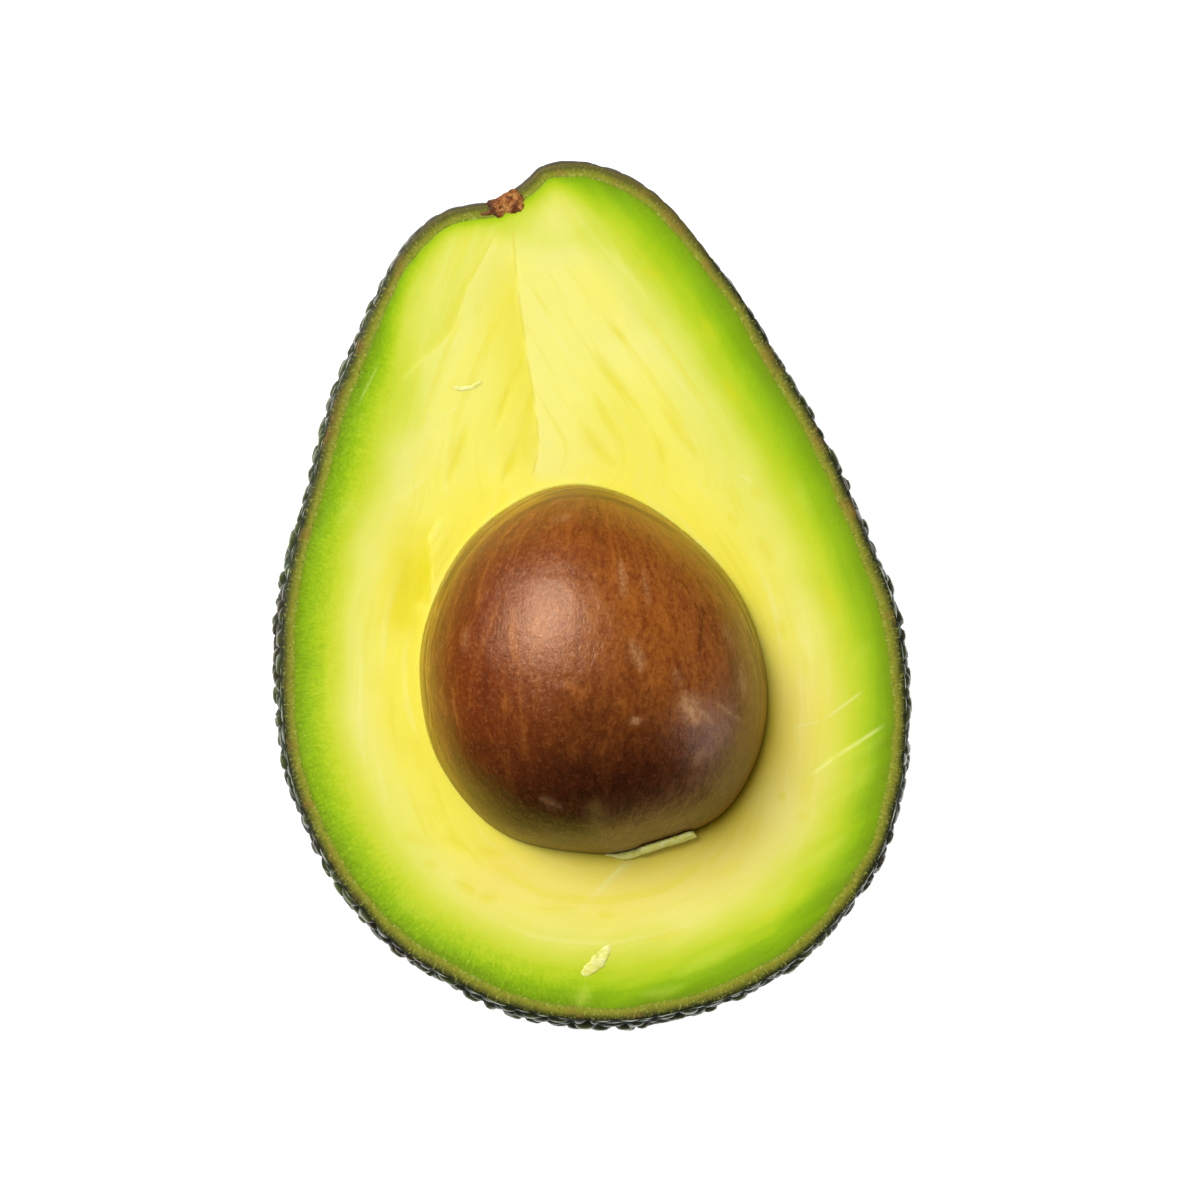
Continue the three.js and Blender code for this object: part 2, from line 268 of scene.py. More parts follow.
class Shader:
    """A material's node tree, with short calls for the nodes used here."""

    def __init__(self, name, **settings):
        self.material = bpy.data.materials.new(name)
        self.material.use_nodes = True
        self.tree = self.material.node_tree
        self.surface = self.tree.nodes["Principled BSDF"]
        for socket, value in settings.items():
            self.put(self.surface.inputs[socket.replace("_", " ")], value)

    def put(self, socket, value):
        if isinstance(value, bpy.types.NodeSocket):
            self.tree.links.new(value, socket)
        else:
            socket.default_value = value

    def node(self, kind, inputs=(), **settings):
        made = self.tree.nodes.new("ShaderNode" + kind)
        for key, value in settings.items():
            setattr(made, key, value)
        for key, value in dict(inputs).items():
            self.put(made.inputs[key], value)
        return made

    def attribute(self, name, output="Fac"):
        return self.node("Attribute", attribute_name=name).outputs[output]

    def place(self):
        """Where a point is, in millimetres."""
        position = self.node("TexCoord").outputs["Object"]
        return self.node("VectorMath", {0: position, "Scale": 1 / MM}, operation="SCALE").outputs[0]

    def stretch(self, vector, x, y, z):
        return self.node("VectorMath", {0: vector, 1: (x, y, z)}, operation="MULTIPLY").outputs[0]

    def line(self, place, start, end, half_width, strength):
        """A mask on a straight line of the cut face, which fades to its sides and its two ends."""
        start, end = (np.array([*point, 0]) + [*SHIFT[:2], 0] for point in (start, end))
        length = np.linalg.norm(end - start)
        along = (end - start) / length
        offset = self.node("VectorMath", {0: place, 1: tuple(start)}, operation="SUBTRACT").outputs[0]
        travelled, aside = (
            self.node("VectorMath", {0: offset, 1: way}, operation="DOT_PRODUCT").outputs["Value"]
            for way in (tuple(along), (-along[1], along[0], 0))
        )
        return self.times(
            self.span(self.math("ABSOLUTE", aside), half_width, 0.0),
            self.span(travelled, 0.0, 0.3 * length),
            self.span(travelled, length, 0.7 * length),
            strength,
        )

    def math(self, operation, a, b=0.0):
        return self.node("Math", {0: a, 1: b}, operation=operation).outputs[0]

    def times(self, first, *others):
        return reduce(lambda product, value: self.math("MULTIPLY", product, value), others, first)

    def plus(self, a, b):
        return self.math("ADD", a, b)

    def less_half(self, value):
        return self.math("SUBTRACT", value, 0.5)

    def part(self, vector, axis):
        return self.node("SeparateXYZ", {0: vector}).outputs[axis]

    def noise(self, vector, scale, detail=3.0, roughness=0.55, distortion=0.0):
        inputs = {"Vector": vector, "Scale": scale, "Detail": detail}
        inputs.update({"Roughness": roughness, "Distortion": distortion})
        return self.node("TexNoise", inputs).outputs["Fac"]

    def cells(self, vector, scale):
        return self.node("TexVoronoi", {"Vector": vector, "Scale": scale}).outputs["Distance"]

    def span(self, value, low, high, to_low=0.0, to_high=1.0):
        inputs = {"Value": value, "From Min": low, "From Max": high, "To Min": to_low, "To Max": to_high}
        return self.node("MapRange", inputs, interpolation_type="SMOOTHSTEP").outputs["Result"]

    def ramp(self, value, stops):
        """Screen colours along a value: [(value, colour)]."""
        made = self.node("ValToRGB", {"Fac": value})
        ramp = made.color_ramp
        while len(ramp.elements) < len(stops):
            ramp.elements.new(0.5)
        for element, (position, shade) in zip(ramp.elements, stops):
            element.position = position
            element.color = colour(*shade)
        return made.outputs["Color"]

    def mix(self, share, a, b):
        """Between two shades, each one a socket or a screen colour."""
        made = self.node("Mix", {0: share}, data_type="RGBA")
        for number, shade in ((6, a), (7, b)):
            self.put(made.inputs[number], colour(*shade) if isinstance(shade, tuple) else shade)
        return made.outputs[2]

    def coats(self, base, *layers):
        """The base under layers of colour, each one (share, shade) or (share, shade, strength)."""
        for share, shade, *strength in layers:
            base = self.mix(self.times(share, *strength), base, shade)
        return base

    def bump(self, height, depth, below=None):
        """A bump of that depth in millimetres where the height goes from 0 to 1."""
        made = self.node("Bump", {"Height": height, "Strength": 1.0, "Distance": depth * MM})
        if below is not None:
            self.put(made.inputs["Normal"], below)
        return made.outputs["Normal"]

    def finish(self, **sockets):
        for socket, value in sockets.items():
            self.put(self.surface.inputs[socket.replace("_", " ")], value)
        return self.material


def colour(red, green, blue):
    """The surface colour that looks like this screen colour, 0 to 255 a channel, on the lit cut face."""
    linear = []
    for value in (red, green, blue):
        share = value / 255
        light = share / 12.92 if share <= 0.04045 else ((share + 0.055) / 1.055) ** 2.4
        linear.append(light / LIGHT_ON_CUT)
    return (*linear, 1.0)


# ---------- Peel ----------

PEEL_COLUMNS = 620
WALL_ROWS = 120
FLAT_ROWS = 12
BAND_SHARES = (0.02, 0.16, 0.32, 0.48, 0.64, 0.8, 0.93)
LINING_ROWS = 5
PEBBLE = 2.5  # from one pebble of the skin to the next
PEBBLE_SEED = 7
PEBBLE_RELIEF = 0.8
WARP = 0.55  # how far the pebbles' outlines wander
WARP_SIZE = 2.2
GROOVE = 0.75
ROWS_NEAR_RIM = 1.25  # above 1, the rings of the back lie closer together near the rim
THICKNESS_WANDER = 0.22
EDGE_DROP = 0.14  # how far the skin's edge lies under the cut
EDGE_GRAIN = 0.04
EDGE_ROUNDING = 0.08  # how far the cut peel falls towards the skin
LUMPS = 0.15  # the broad unevenness of the back
GIRTH_RADIUS = 40.0
CLEAN_EDGE = (0.1, 1.6)  # how far under the cut the pebbles grow from nothing to their full height
SMOOTH_NECK = (24, 44)  # from here to there along the fruit, the skin gets smoother towards the stem


def back_ring(rim, depth, angle):
    """One level ring of the fruit's back, below a rim outline."""
    drop = depth * math.sin(angle)
    closed = 1 - math.exp(-((drop / DIMPLE_FILL) ** 2))
    near = np.exp(-((np.linalg.norm(rim - STEM_PLACE, axis=1) / DIMPLE_REACH) ** 2))
    arm = rim + np.outer(DIMPLE_DEPTH * closed * near, STEM_AXIS) - BACK_CENTRE
    swell = at_angle(SWELL, angle_of(arm))
    arm = arm * (math.cos(angle) * (1 + 0.5 * swell * math.sin(2 * angle)))[:, None]
    return raised(BACK_CENTRE + arm, -drop)


def back_rings(rim, depth, lowest, rows):
    """Rings from the rim down to a height below the cut face."""
    flat_angle = math.asin(-lowest / depth)
    angles = flat_angle * np.linspace(0, 1, rows + 1) ** ROWS_NEAR_RIM
    return np.stack([back_ring(rim, depth, angle) for angle in angles])


def shrunk_rings(ring, rows):
    """Rings that close in on the middle of a level ring, without the ring itself."""
    middle = ring.mean(axis=0)
    return np.stack([middle + (ring - middle) * (1 - i / (rows + 1)) for i in range(1, rows + 1)])


def scattered_on(rings, spacing, rng):
    """Points spread over the rings about that far apart."""
    rows, columns = rings.shape[:2]
    between_rows = np.linalg.norm(np.diff(rings, axis=0), axis=2).mean(axis=1)
    depth = np.concatenate([[0], np.cumsum(between_rows)])
    found = []
    for level in np.arange(0, depth[-1], 0.87 * spacing):
        row = np.interp(level, depth, np.arange(rows))
        ring = rings[int(row)]
        girth = np.linalg.norm(ring - np.roll(ring, 1, axis=0), axis=1).sum()
        count = max(3, round(girth / spacing))
        turn = (np.arange(count) + rng.uniform(0, 1) + rng.uniform(-0.3, 0.3, count)) / count
        lift = rng.uniform(-0.3, 0.3, count) * spacing / max(between_rows.mean(), 1e-6)
        at_row = np.clip(np.round(row + lift), 0, rows - 1).astype(int)
        at_column = np.round(turn * columns).astype(int) % columns
        found.append(rings[at_row, at_column])
    return np.vstack(found)


def pebble_height(rings):
    """The skin's pebbles, from 0 in the grooves to 1 on the tallest tops."""
    rng = np.random.default_rng(PEBBLE_SEED)
    noise.seed_set(PEBBLE_SEED)  # without it, noise_vector starts from the clock
    seeds = scattered_on(rings, PEBBLE, rng)
    tallness = rng.uniform(0.45, 1.0, len(seeds))
    tree = KDTree(len(seeds))
    for index, seed in enumerate(seeds):
        tree.insert(seed, index)
    tree.balance()
    flat = rings.reshape(-1, 3)
    warp = np.array([noise.noise_vector(Vector(p / WARP_SIZE)) for p in flat]) * WARP
    height = np.empty(len(flat))
    for index, point in enumerate(flat + warp):
        (_, nearest, near), (_, _, second) = tree.find_n(point, 2)
        edge = 1 - math.exp(-(((second - near) / GROOVE) ** 2))
        dome = 1 - 0.35 * (near / PEBBLE) ** 2
        height[index] = tallness[nearest] * edge * dome
    return height.reshape(rings.shape[:2])


def peel_inner_rim():
    """Where the cut peel meets the flesh: the peel is not quite the same thickness all the way round."""
    rim = closed_curve(RIM_OUTLINE, PEEL_COLUMNS)
    return inset(rim, PEEL_THICKNESS + THICKNESS_WANDER * smooth_noise(raised(rim, 0.0), 5.0, 3, 3.1))


def girth_vector(count):
    """Seamless coordinates round the fruit, in millimetres, for patterns that follow its rim."""
    return GIRTH_RADIUS * arm_at(np.linspace(0, 360, count, endpoint=False))


def make_peel():
    rim = closed_curve(RIM_OUTLINE, PEEL_COLUMNS)
    wall = back_rings(rim, BACK_DEPTH, -RIM_HEIGHT, WALL_ROWS)
    wall = np.concatenate([wall, shrunk_rings(wall[-1], FLAT_ROWS)])
    normals = ring_normals(wall)
    pebbles = pebble_height(wall)
    lumps = smooth_noise(wall, 9.0, 2)
    calm = 1 - 0.75 * fade(*SMOOTH_NECK, wall[..., 1])
    calm = calm * (0.12 + 0.88 * fade(*CLEAN_EDGE, -wall[..., 2]))
    relief = PEBBLE_RELIEF * calm * (pebbles - 0.7) + LUMPS * lumps
    outside = wall + normals * relief[..., None]
    outside[..., 2] = np.maximum(outside[..., 2], -RIM_HEIGHT)
    outside[0, :, 2] = 0  # level with the cut, while the band of cut peel is laid from it

    inner = peel_inner_rim()
    share = np.array(BAND_SHARES)[:, None, None]
    band = raised(inner, 0.0) * (1 - share) + outside[0] * share
    grain = smooth_noise(band, 0.55, 2, 9.0)
    rounding = fade(0.7, 1.0, share[..., 0]) ** 2
    band[..., 2] = EDGE_GRAIN * grain - EDGE_ROUNDING * rounding
    outside[0, :, 2] = -EDGE_DROP
    lining = back_rings(inner, BACK_DEPTH - PEEL_THICKNESS, PEEL_THICKNESS - RIM_HEIGHT, LINING_ROWS)

    rings = np.concatenate([lining[::-1], band, outside])
    rows = len(rings)
    first_outside = len(lining) + len(band)
    across = np.ones(rings.shape[:2])
    across[:len(lining)] = 0
    across[len(lining):first_outside] = share[..., 0]
    height = np.ones(rings.shape[:2])
    height[first_outside:] = pebbles
    girth = np.broadcast_to(girth_vector(PEEL_COLUMNS), (rows, PEEL_COLUMNS, 2))
    rim_place = np.concatenate([girth, across[..., None] * PEEL_THICKNESS], axis=2)
    layers = {"across": across, "pebble": height, "rim_place": rim_place}
    materials = [cut_peel_material(), skin_material()]
    material_of_row = (np.arange(rows) >= first_outside).astype(int)
    peel = skin_object("avocado_peel", rings, materials, layers, material_of_row)
    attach(peel, "root")
    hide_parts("peel")


def stem_end(s, place):
    """Where the skin thins and turns brown, along the cut edge by the stem."""
    near_cut = s.span(s.part(place, "Z"), RIM_HEIGHT - 6.0, RIM_HEIGHT - 1.0)
    return s.times(s.span(s.part(place, "Y"), 33.0, 44.0), near_cut)


def skin_material():
    """Dark, waxy, pebbled skin: near black in the grooves, green to brown on top, with corky specks.

    The grooves' dark is painted shade, and the lighter tops are partly painted highlight.
    """
    s = Shader("avocado_skin", IOR=1.45, Specular_IOR_Level=0.5, Specular_Tint=(0.92, 1.0, 0.8, 1.0))
    place = s.place()
    by_stem = stem_end(s, place)
    fine = s.noise(place, 1.1, 4.0, 0.65)
    level = s.plus(s.attribute("pebble"), s.times(s.less_half(fine), 0.5))
    # By pebble height: near black in the grooves as painted shade, lighter on the tops partly as painted
    # highlight.
    green = s.ramp(level, [
        (0.0, (22, 27, 10)), (0.3, (44, 54, 22)), (0.6, (70, 82, 38)), (1.0, (122, 132, 84)),
    ])
    brown = s.ramp(level, [(0.0, (12, 11, 7)), (0.5, (58, 48, 30)), (1.0, (98, 88, 62))])
    base = s.coats(
        green,
        (s.span(s.noise(place, 0.12, 4.0), 0.45, 0.7), brown),
        (s.span(s.cells(place, 0.42), 0.16, 0.08), (132, 128, 84), 0.5),
        (by_stem, (72, 58, 10), 0.85),
    )
    grain = s.bump(s.noise(place, 2.6, 4.0, 0.7), 0.05)
    wrinkled = s.bump(s.noise(place, 0.8, 2.0, 0.5, 1.2), 0.12, grain)
    roughness = s.math("MAXIMUM", s.span(level, 0.2, 0.65, 0.8, 0.28), s.times(by_stem, 0.7))
    return s.finish(Base_Color=base, Roughness=roughness, Normal=wrinkled)


def cut_peel_material():
    """The knife-cut edge of the peel: granular olive, dark at the skin and green-yellow at the flesh."""
    s = Shader("avocado_cut_peel", IOR=1.42, Specular_IOR_Level=0.3)
    rim_place = s.attribute("rim_place", "Vector")
    place = s.place()
    grain = s.noise(rim_place, 2.3, 4.0, 0.75)
    flecks = s.noise(s.stretch(rim_place, 1.0, 1.0, 0.6), 4.0, 2.0, 0.6)
    wobble = s.times(s.math("SUBTRACT", s.plus(s.noise(place, 0.3, 3.0), grain), 1.0), 0.4)
    level = s.plus(s.attribute("across"), wobble)
    base = s.coats(
        s.ramp(level, [
            (0.0, (128, 148, 2)), (0.14, (140, 148, 8)), (0.28, (146, 148, 20)), (0.5, (126, 127, 14)),
            (0.68, (96, 96, 8)), (0.83, (66, 70, 12)), (0.94, (38, 44, 12)),
        ]),
        (s.span(flecks, 0.54, 0.68, 0.0, 0.5), (180, 182, 76)),
        (s.span(grain, 0.48, 0.32, 0.0, 0.6), (80, 82, 10)),
        (s.span(s.noise(place, 0.22, 3.0), 0.54, 0.7, 0.0, 0.5), (150, 112, 36)),
        (s.span(level, 0.92, 1.02), (30, 36, 12)),
        # A light dotted line at the flesh side of the cut peel: partly its own pale edge, partly painted
        # glints.
        (s.times(s.span(level, 0.3, 0.1), s.span(flecks, 0.5, 0.62)), (180, 194, 84), 0.35),
        (s.times(stem_end(s, place), s.span(level, 0.62, 0.86, 0.0, 0.75)), (110, 100, 26)),
    )
    return s.finish(Base_Color=base, Roughness=0.55, Normal=s.bump(grain, 0.1))


# ---------- Flesh ----------

FLESH_COLUMNS = 620
FACE_ROWS = 108
HOLLOW_ROWS = 14
SIDE_ROWS = 6
HOLLOW_GAP = 0.02
PIT_OVERLAP = 0.04  # the face runs this far into the pit's flank, so that no gap shows
MENISCUS = 0.12  # how far the face creeps up the pit's flank
MENISCUS_REACH = 0.35
RIM_STEP = 0.002  # the last row of the face is this share of it in from the rim, so the edge stays crisp

# The green band is this share of its usual width: [angle about the pit, share].
GREEN_WIDTH = [
    (0, 1.18), (20, 1.25), (45, 1.27), (68, 1.25), (80, 1.12), (88, 0.95), (96, 0.4), (106, 0.3),
    (116, 0.5), (126, 0.92), (140, 0.92), (160, 1.0), (190, 0.94), (222, 1.0), (240, 0.9), (270, 1.0),
    (300, 1.06), (330, 1.14), (360, 1.18),
]
# How far along its colours the band starts at the peel: [angle about the pit, distance].
GREEN_START = [
    (0, 0.2), (80, 0.2), (90, 0.5), (97, 2.2), (108, 2.4), (116, 1.2), (126, 0.2), (270, 0.0), (360, 0.2),
]
# The flesh's colours from the peel inwards, where the band has its usual width: [distance, colour].
GREEN_BAND = [
    (0.0, (118, 152, 0)), (0.6, (128, 168, 0)), (1.2, (138, 181, 0)), (2.1, (156, 196, 2)),
    (3.0, (178, 209, 18)), (4.0, (198, 218, 36)), (5.0, (211, 224, 60)), (6.5, (226, 231, 88)),
    (8.5, (238, 237, 116)), (11.0, (248, 242, 112)),
]
BAND_REACH = 12.0

CREASE = [(-6.7, 13.0), (-5.8, 16.2), (-6.2, 20.5), (-7.3, 27.6), (-8.3, 34.8), (-8.8, 41.4)]
LEFT_RIDGE = [(-22.5, 22.5), (-19.0, 26.1), (-15.7, 29.0), (-13.8, 34.3), (-10.6, 40.4)]

PIT_STEP = [(-17.9, -1.5), (-17.8, 2.6), (-18.1, 6.4), (-16.4, 9.4)]
LOW_CUT = [(24.2, -20.1), (26.8, -18.0), (30.1, -15.9), (32.9, -14.2)]

# Ridges left by the knife and the fruit's grain, as paths on the cut face. The ground on the right of
# each path stands higher by `rise` and falls back over `reach`: [path, rise, reach].
RIDGES = [
    (CREASE, 0.12, 9.0),
    (LEFT_RIDGE, 0.07, 5.0),
    (PIT_STEP, 0.12, 3.5),
    (LOW_CUT, 0.10, 5.0),
]
DENT = ([(-19.8, 5.4), (-19.8, 0.4)], 1.8, 0.2)  # beside the pit's left flank: path, half width, depth

# Deeper yellow streaks of the fruit's fibres: [from, to, half width, strength].
STREAKS = [
    ((-10.8, 18.3), (-8.8, 24.2), 0.55, 0.9), ((-15.9, 12.4), (-13.8, 19.3), 0.6, 0.9),
    ((-9.8, 12.5), (-8.0, 17.5), 0.6, 1.0), ((-13.1, 30.8), (-12.0, 32.9), 0.5, 0.6),
    ((-19.5, 13.0), (-17.6, 18.0), 0.7, 0.35), ((1.6, 30.3), (4.0, 27.7), 0.45, 0.6),
    ((0.0, 27.3), (6.7, 18.8), 0.55, 0.8), ((6.7, 18.8), (8.6, 13.5), 0.5, 0.8),
    ((7.2, 21.9), (12.1, 14.9), 0.5, 0.75), ((-1.5, 19.4), (2.6, 14.2), 0.8, 0.7),
    ((5.2, 36.4), (8.1, 35.4), 0.4, 0.5), ((11.7, 31.1), (14.1, 27.8), 0.5, 0.4),
    ((14.3, 24.5), (16.8, 20.6), 0.5, 0.5), ((17.6, 12.2), (19.2, 10.6), 0.5, 0.5),
    ((15.0, 9.4), (16.6, 7.5), 0.45, 0.5), ((18.6, 6.3), (20.5, 3.6), 0.5, 0.6),
    ((20.6, -2.4), (21.3, -4.6), 0.6, 0.5), ((22.7, -5.0), (24.3, -10.2), 0.5, 0.45),
    ((25.7, 1.9), (27.1, -2.6), 0.6, 0.4), ((-21.5, -26.2), (-17.2, -27.8), 0.5, 0.5),
    ((-17.0, -26.2), (-13.6, -28.2), 0.6, 0.6), ((-13.6, -28.2), (-9.2, -28.6), 0.6, 0.6),
    ((-15.4, -31.8), (-12.6, -33.1), 0.55, 0.85), ((-12.6, -33.1), (-10.0, -33.6), 0.5, 0.8),
    ((-6.5, -34.7), (-1.6, -34.9), 0.5, 0.6), ((0.6, -35.3), (3.2, -35.1), 0.5, 0.6),
    ((5.6, -38.4), (10.7, -37.2), 0.55, 0.5), ((12.0, -31.8), (17.0, -29.4), 0.6, 0.35),
    ((18.6, -35.9), (20.9, -34.6), 0.4, 0.6), ((-18.6, -29.4), (-17.2, -30.3), 0.5, 0.5),
    ((21.0, -22.6), (21.9, -22.2), 0.5, 0.8), ((-19.6, -15.5), (-18.8, -19.5), 0.7, 0.4),
    ((-24.0, 3.0), (-23.4, -5.0), 0.6, 0.3), ((22.7, -25.0), (24.5, -24.1), 0.5, 0.5),
]

STREAK_SPREAD = 1.1
STREAK_STRENGTH = 0.7
STREAK_DEPTH = 0.05
WAVES = 0.08  # the broad and the fine unevenness of the cut face
ROUGHNESS = 0.02

# Washes of colour, each a soft patch about a path: [path, half width, strength].
DEEP_WASHES = [
    ([(-20.0, 3.6), (-21.2, -2.0)], 2.5, 0.75),
    ([(-23.5, -10.0), (-21.5, -17.0)], 1.6, 0.2),
    ([(3.0, 20.0), (7.0, 14.0)], 2.6, 0.25),
]
PALE_WASHES = [
    ([(-4.5, 36.0), (-1.0, 29.0), (4.5, 26.5)], 3.6, 0.75),
    ([(-25.5, 8.0), (-26.5, -4.0), (-25.5, -16.0), (-22.0, -24.0)], 2.4, 0.25),
    # A bright spot at the crease's foot: painted light on the lit face of its step.
    ([(-5.9, 15.8), (-5.6, 13.4)], 0.8, 0.9),
    ([(9.0, 33.0), (15.0, 24.0), (20.5, 12.0), (24.0, 0.0), (26.0, -9.0)], 3.0, 0.6),
    ([(23.0, -22.0), (18.0, -29.0), (9.0, -35.0)], 3.0, 0.55),
    ([(24.5, -20.6), (30.5, -17.4)], 1.7, 0.6),
    ([(-14.0, -32.0), (-4.0, -34.5)], 2.2, 0.35),
    ([(4.2, -29.6), (-1.0, -34.4)], 0.65, 0.75),
    ([(-12.0, 24.0), (-19.0, 16.0)], 2.0, 0.4),
]
# Flanks of the ridges: colour that starts sharply at a path and fades to its right, or left if the
# reach is negative: [path, reach, strength, share of the path to fade in over, and out over].
DEEP_FLANKS = [
    (CREASE, -4.2, 0.5, 0.1, 0.3), (PIT_STEP, -4.0, 0.9, 0.1, 0.65),
    (LEFT_RIDGE, -1.3, 0.4, 0.6, 0.05),
]
# On the raised side of each ridge the pale flank is partly paler flesh and partly painted light where the
# step faces the lamp.
PALE_FLANKS = [
    (CREASE, 6.0, 0.85, 0.05, 0.3), (LEFT_RIDGE, 2.4, 0.9, 0.6, 0.1), (LOW_CUT, 3.4, 0.7, 0.2, 0.1),
    (PIT_STEP, 1.6, 0.35, 0.1, 0.2),
]
# Warmer flesh round the pit's lower side: partly its own colour, partly painted shade and painted brown
# light reflected from the pit.
WARM_WASH = ([(-10.0, -31.0), (3.0, -33.0), (14.0, -29.0), (21.5, -20.0), (22.5, -12.0)], 4.4, 0.85)
LIME = 5.0  # a lime wash takes on the colour that the green band has at this distance
LIME_WASHES = [
    ([(-12.5, 38.0), (-15.5, 32.0), (-19.5, 26.5), (-21.0, 21.0)], 4.0, 0.7),
    ([(-8.5, 41.0), (-5.0, 39.5), (2.0, 40.5)], 3.4, 0.75),
]
GREEN_STREAKS = [
    ((-21.0, 24.0), (-16.5, 28.6), 0.9, 0.5), ((-16.5, 28.6), (-12.0, 38.0), 0.8, 0.45),
    ((-21.5, 31.2), (-18.4, 34.0), 0.8, 0.5), ((-9.8, -42.5), (-4.9, -42.3), 0.7, 0.6),
]
# Thin pale lines where the knife's tip dragged: [from, to, half width, strength].
SCRATCHES = [
    ((22.1, -14.7), (25.7, -13.9), 0.26, 0.5), ((25.5, -14.0), (30.4, -10.4), 0.26, 0.6),
    ((24.0, -20.2), (27.1, -17.9), 0.4, 0.4), ((26.7, -18.2), (32.9, -14.1), 0.32, 0.5),
    ((4.3, -29.2), (-0.5, -34.0), 0.45, 0.5), ((-17.6, 19.0), (-12.6, 22.6), 0.2, 0.3),
    ((18.0, 12.5), (16.3, 13.6), 0.3, 0.5), ((-26.0, 21.0), (-23.5, 26.0), 0.25, 0.2),
    ((-21.5, 10.7), (-18.1, 13.2), 0.25, 0.4),
]
# Thin deeper lines along the ridges: [path, half width, strength].
SEAMS = [(CREASE, 0.3, 0.45), (LEFT_RIDGE[1:], 0.3, 0.3), (PIT_STEP, 0.25, 0.3)]
# Broad pale smears, as streaks.
PALE_STREAKS = [
    ((-28.2, 7.6), (-26.2, 10.8), 0.7, 0.7), ((-0.4, -42.8), (-1.4, -46.2), 0.7, 0.7),
    ((17.6, -35.8), (22.0, -33.0), 0.8, 0.7), ((9.0, -42.3), (17.0, -38.2), 0.9, 0.6),
    ((12.5, -38.0), (19.5, -34.5), 0.8, 0.4), ((23.5, -30.4), (28.5, -26.4), 0.9, 0.55),
    ((25.0, -24.2), (31.5, -18.6), 1.1, 0.55), ((22.4, -20.8), (32.6, -15.7), 0.9, 0.5),
    ((28.0, -8.0), (31.0, -5.0), 0.8, 0.35), ((5.0, -44.4), (10.5, -43.2), 0.6, 0.5),
    ((24.5, 8.5), (22.5, 13.5), 0.7, 0.4), ((-22.0, -33.0), (-17.5, -36.5), 0.8, 0.35),
]
DRAG_WAY = math.radians(28)  # the way the knife smeared the green on the lower right
DRAG = 0.6  # how far it smeared it, in steps of the green band
# Painted shadow on the flesh beside the pit, on the side away from the light: the angle about the pit,
# how far round this spreads, and how far out.
PAINTED_SHADOW_ANGLE = 316
PAINTED_SHADOW_SPREAD = 50
PAINTED_SHADOW_REACH = 2.1


def patch(points, path, half_width, strength):
    """A soft mask about a path."""
    distance, _, _ = path_distance(points, path)
    return strength * np.exp(-((distance / half_width) ** 2))


def flank(points, path, reach, strength, fade_in, fade_out):
    """A mask that starts sharply at a path and fades out on its right, or on its left if reach < 0."""
    distance, share, side = path_distance(points, path)
    on_side = fade(-0.1, 0.12, -side * np.sign(reach))
    ends = fade(-0.01, fade_in, share) * (1 - fade(1 - fade_out, 1.01, share))
    return strength * on_side * ends * np.exp(-((distance / reach) ** 2))


def strongest(base, mask, points, washes):
    """At each point the greatest of a base and of the masks of all the washes."""
    return np.maximum.reduce([base, *(mask(points, *wash) for wash in washes)])


def streak_mask(points, streaks, spread=1.0):
    """Tapered streaks: widest in the middle and gone at both ends."""
    mask = np.zeros(len(points))
    for start, end, half_width, strength in streaks:
        distance, share, _ = path_distance(points, [start, end])
        taper = np.sin(math.pi * np.clip(share, 0, 1))
        width = spread * half_width * (0.35 + 0.65 * taper)
        mask = np.maximum(mask, strength * np.sqrt(taper) * np.exp(-((distance / width) ** 1.6)))
    return mask


def nearest_rim(points, rim):
    """Distance to the rim and the number of the nearest rim point."""
    tree = KDTree(len(rim))
    for index, point in enumerate(rim):
        tree.insert((*point, 0), index)
    tree.balance()
    hits = [tree.find((*point, 0)) for point in points]
    return np.array([hit[2] for hit in hits]), np.array([hit[1] for hit in hits])


# The fibres' core: its height along the fruit and its x there.
CORE = [(-46, 0.3), (10, -4.5), (28, -7.2), (42, -8.6)]
CORE_HALF_LENGTH = 20.5  # where the fibres part round the pit
CORE_HALF_WIDTH = 19.4
LEANING_PITCH = 13.0
LEANING_START = 1.35  # makes the leaning fibres run on into the upright ones
RIM_PITCH = 11.0
RIGHT_LEAN = (0.82, 0.57)  # across the leaning fibres, on each side of the core
LEFT_LEAN = (-0.95, 0.32)


def lanes(points, rim, edge):
    """Across the fibres: 0 at the core and round the pit, and about 1 at the rim.

    Above the pit the fibres lean away from the crease. Below it they run along the rim.
    """
    x, y = points[:, 0], points[:, 1]
    top, bottom = rim[:, 1].argmax(), rim[:, 1].argmin()
    order = np.arange(len(rim))
    left = rim[(order >= top) & (order <= bottom)]
    right = np.vstack([rim[order > bottom], rim[order < top]])
    core = np.interp(y, *zip(*CORE))
    round_pit = np.clip(1 - ((y - PIT_CENTRE[1]) / CORE_HALF_LENGTH) ** 2, 0, 1)
    reach = np.sqrt(round_pit) * CORE_HALF_WIDTH
    on_right = x > core
    right_x = np.interp(y, right[:, 1], right[:, 0])
    left_x = np.interp(-y, -left[:, 1], left[:, 0])
    edge_x = np.where(on_right, right_x, left_x)
    beside_pit = np.where(
        on_right, np.maximum(core, PIT_CENTRE[0] + reach), np.minimum(core, PIT_CENTRE[0] - reach))
    inner = np.where(reach > 0, beside_pit, core)
    side = (x - inner) / np.where(np.abs(edge_x - inner) < 0.5, 0.5, edge_x - inner)
    upright = np.clip(side, -0.3, 1.2)
    leaning = np.where(on_right, points @ RIGHT_LEAN, points @ LEFT_LEAN) / LEANING_PITCH - LEANING_START
    along_rim = 1 - edge / RIM_PITCH
    above, below = fade(2, 18, y), fade(12, 34, -y)
    return upright * (1 - above) * (1 - below) + above * leaning + below * along_rim


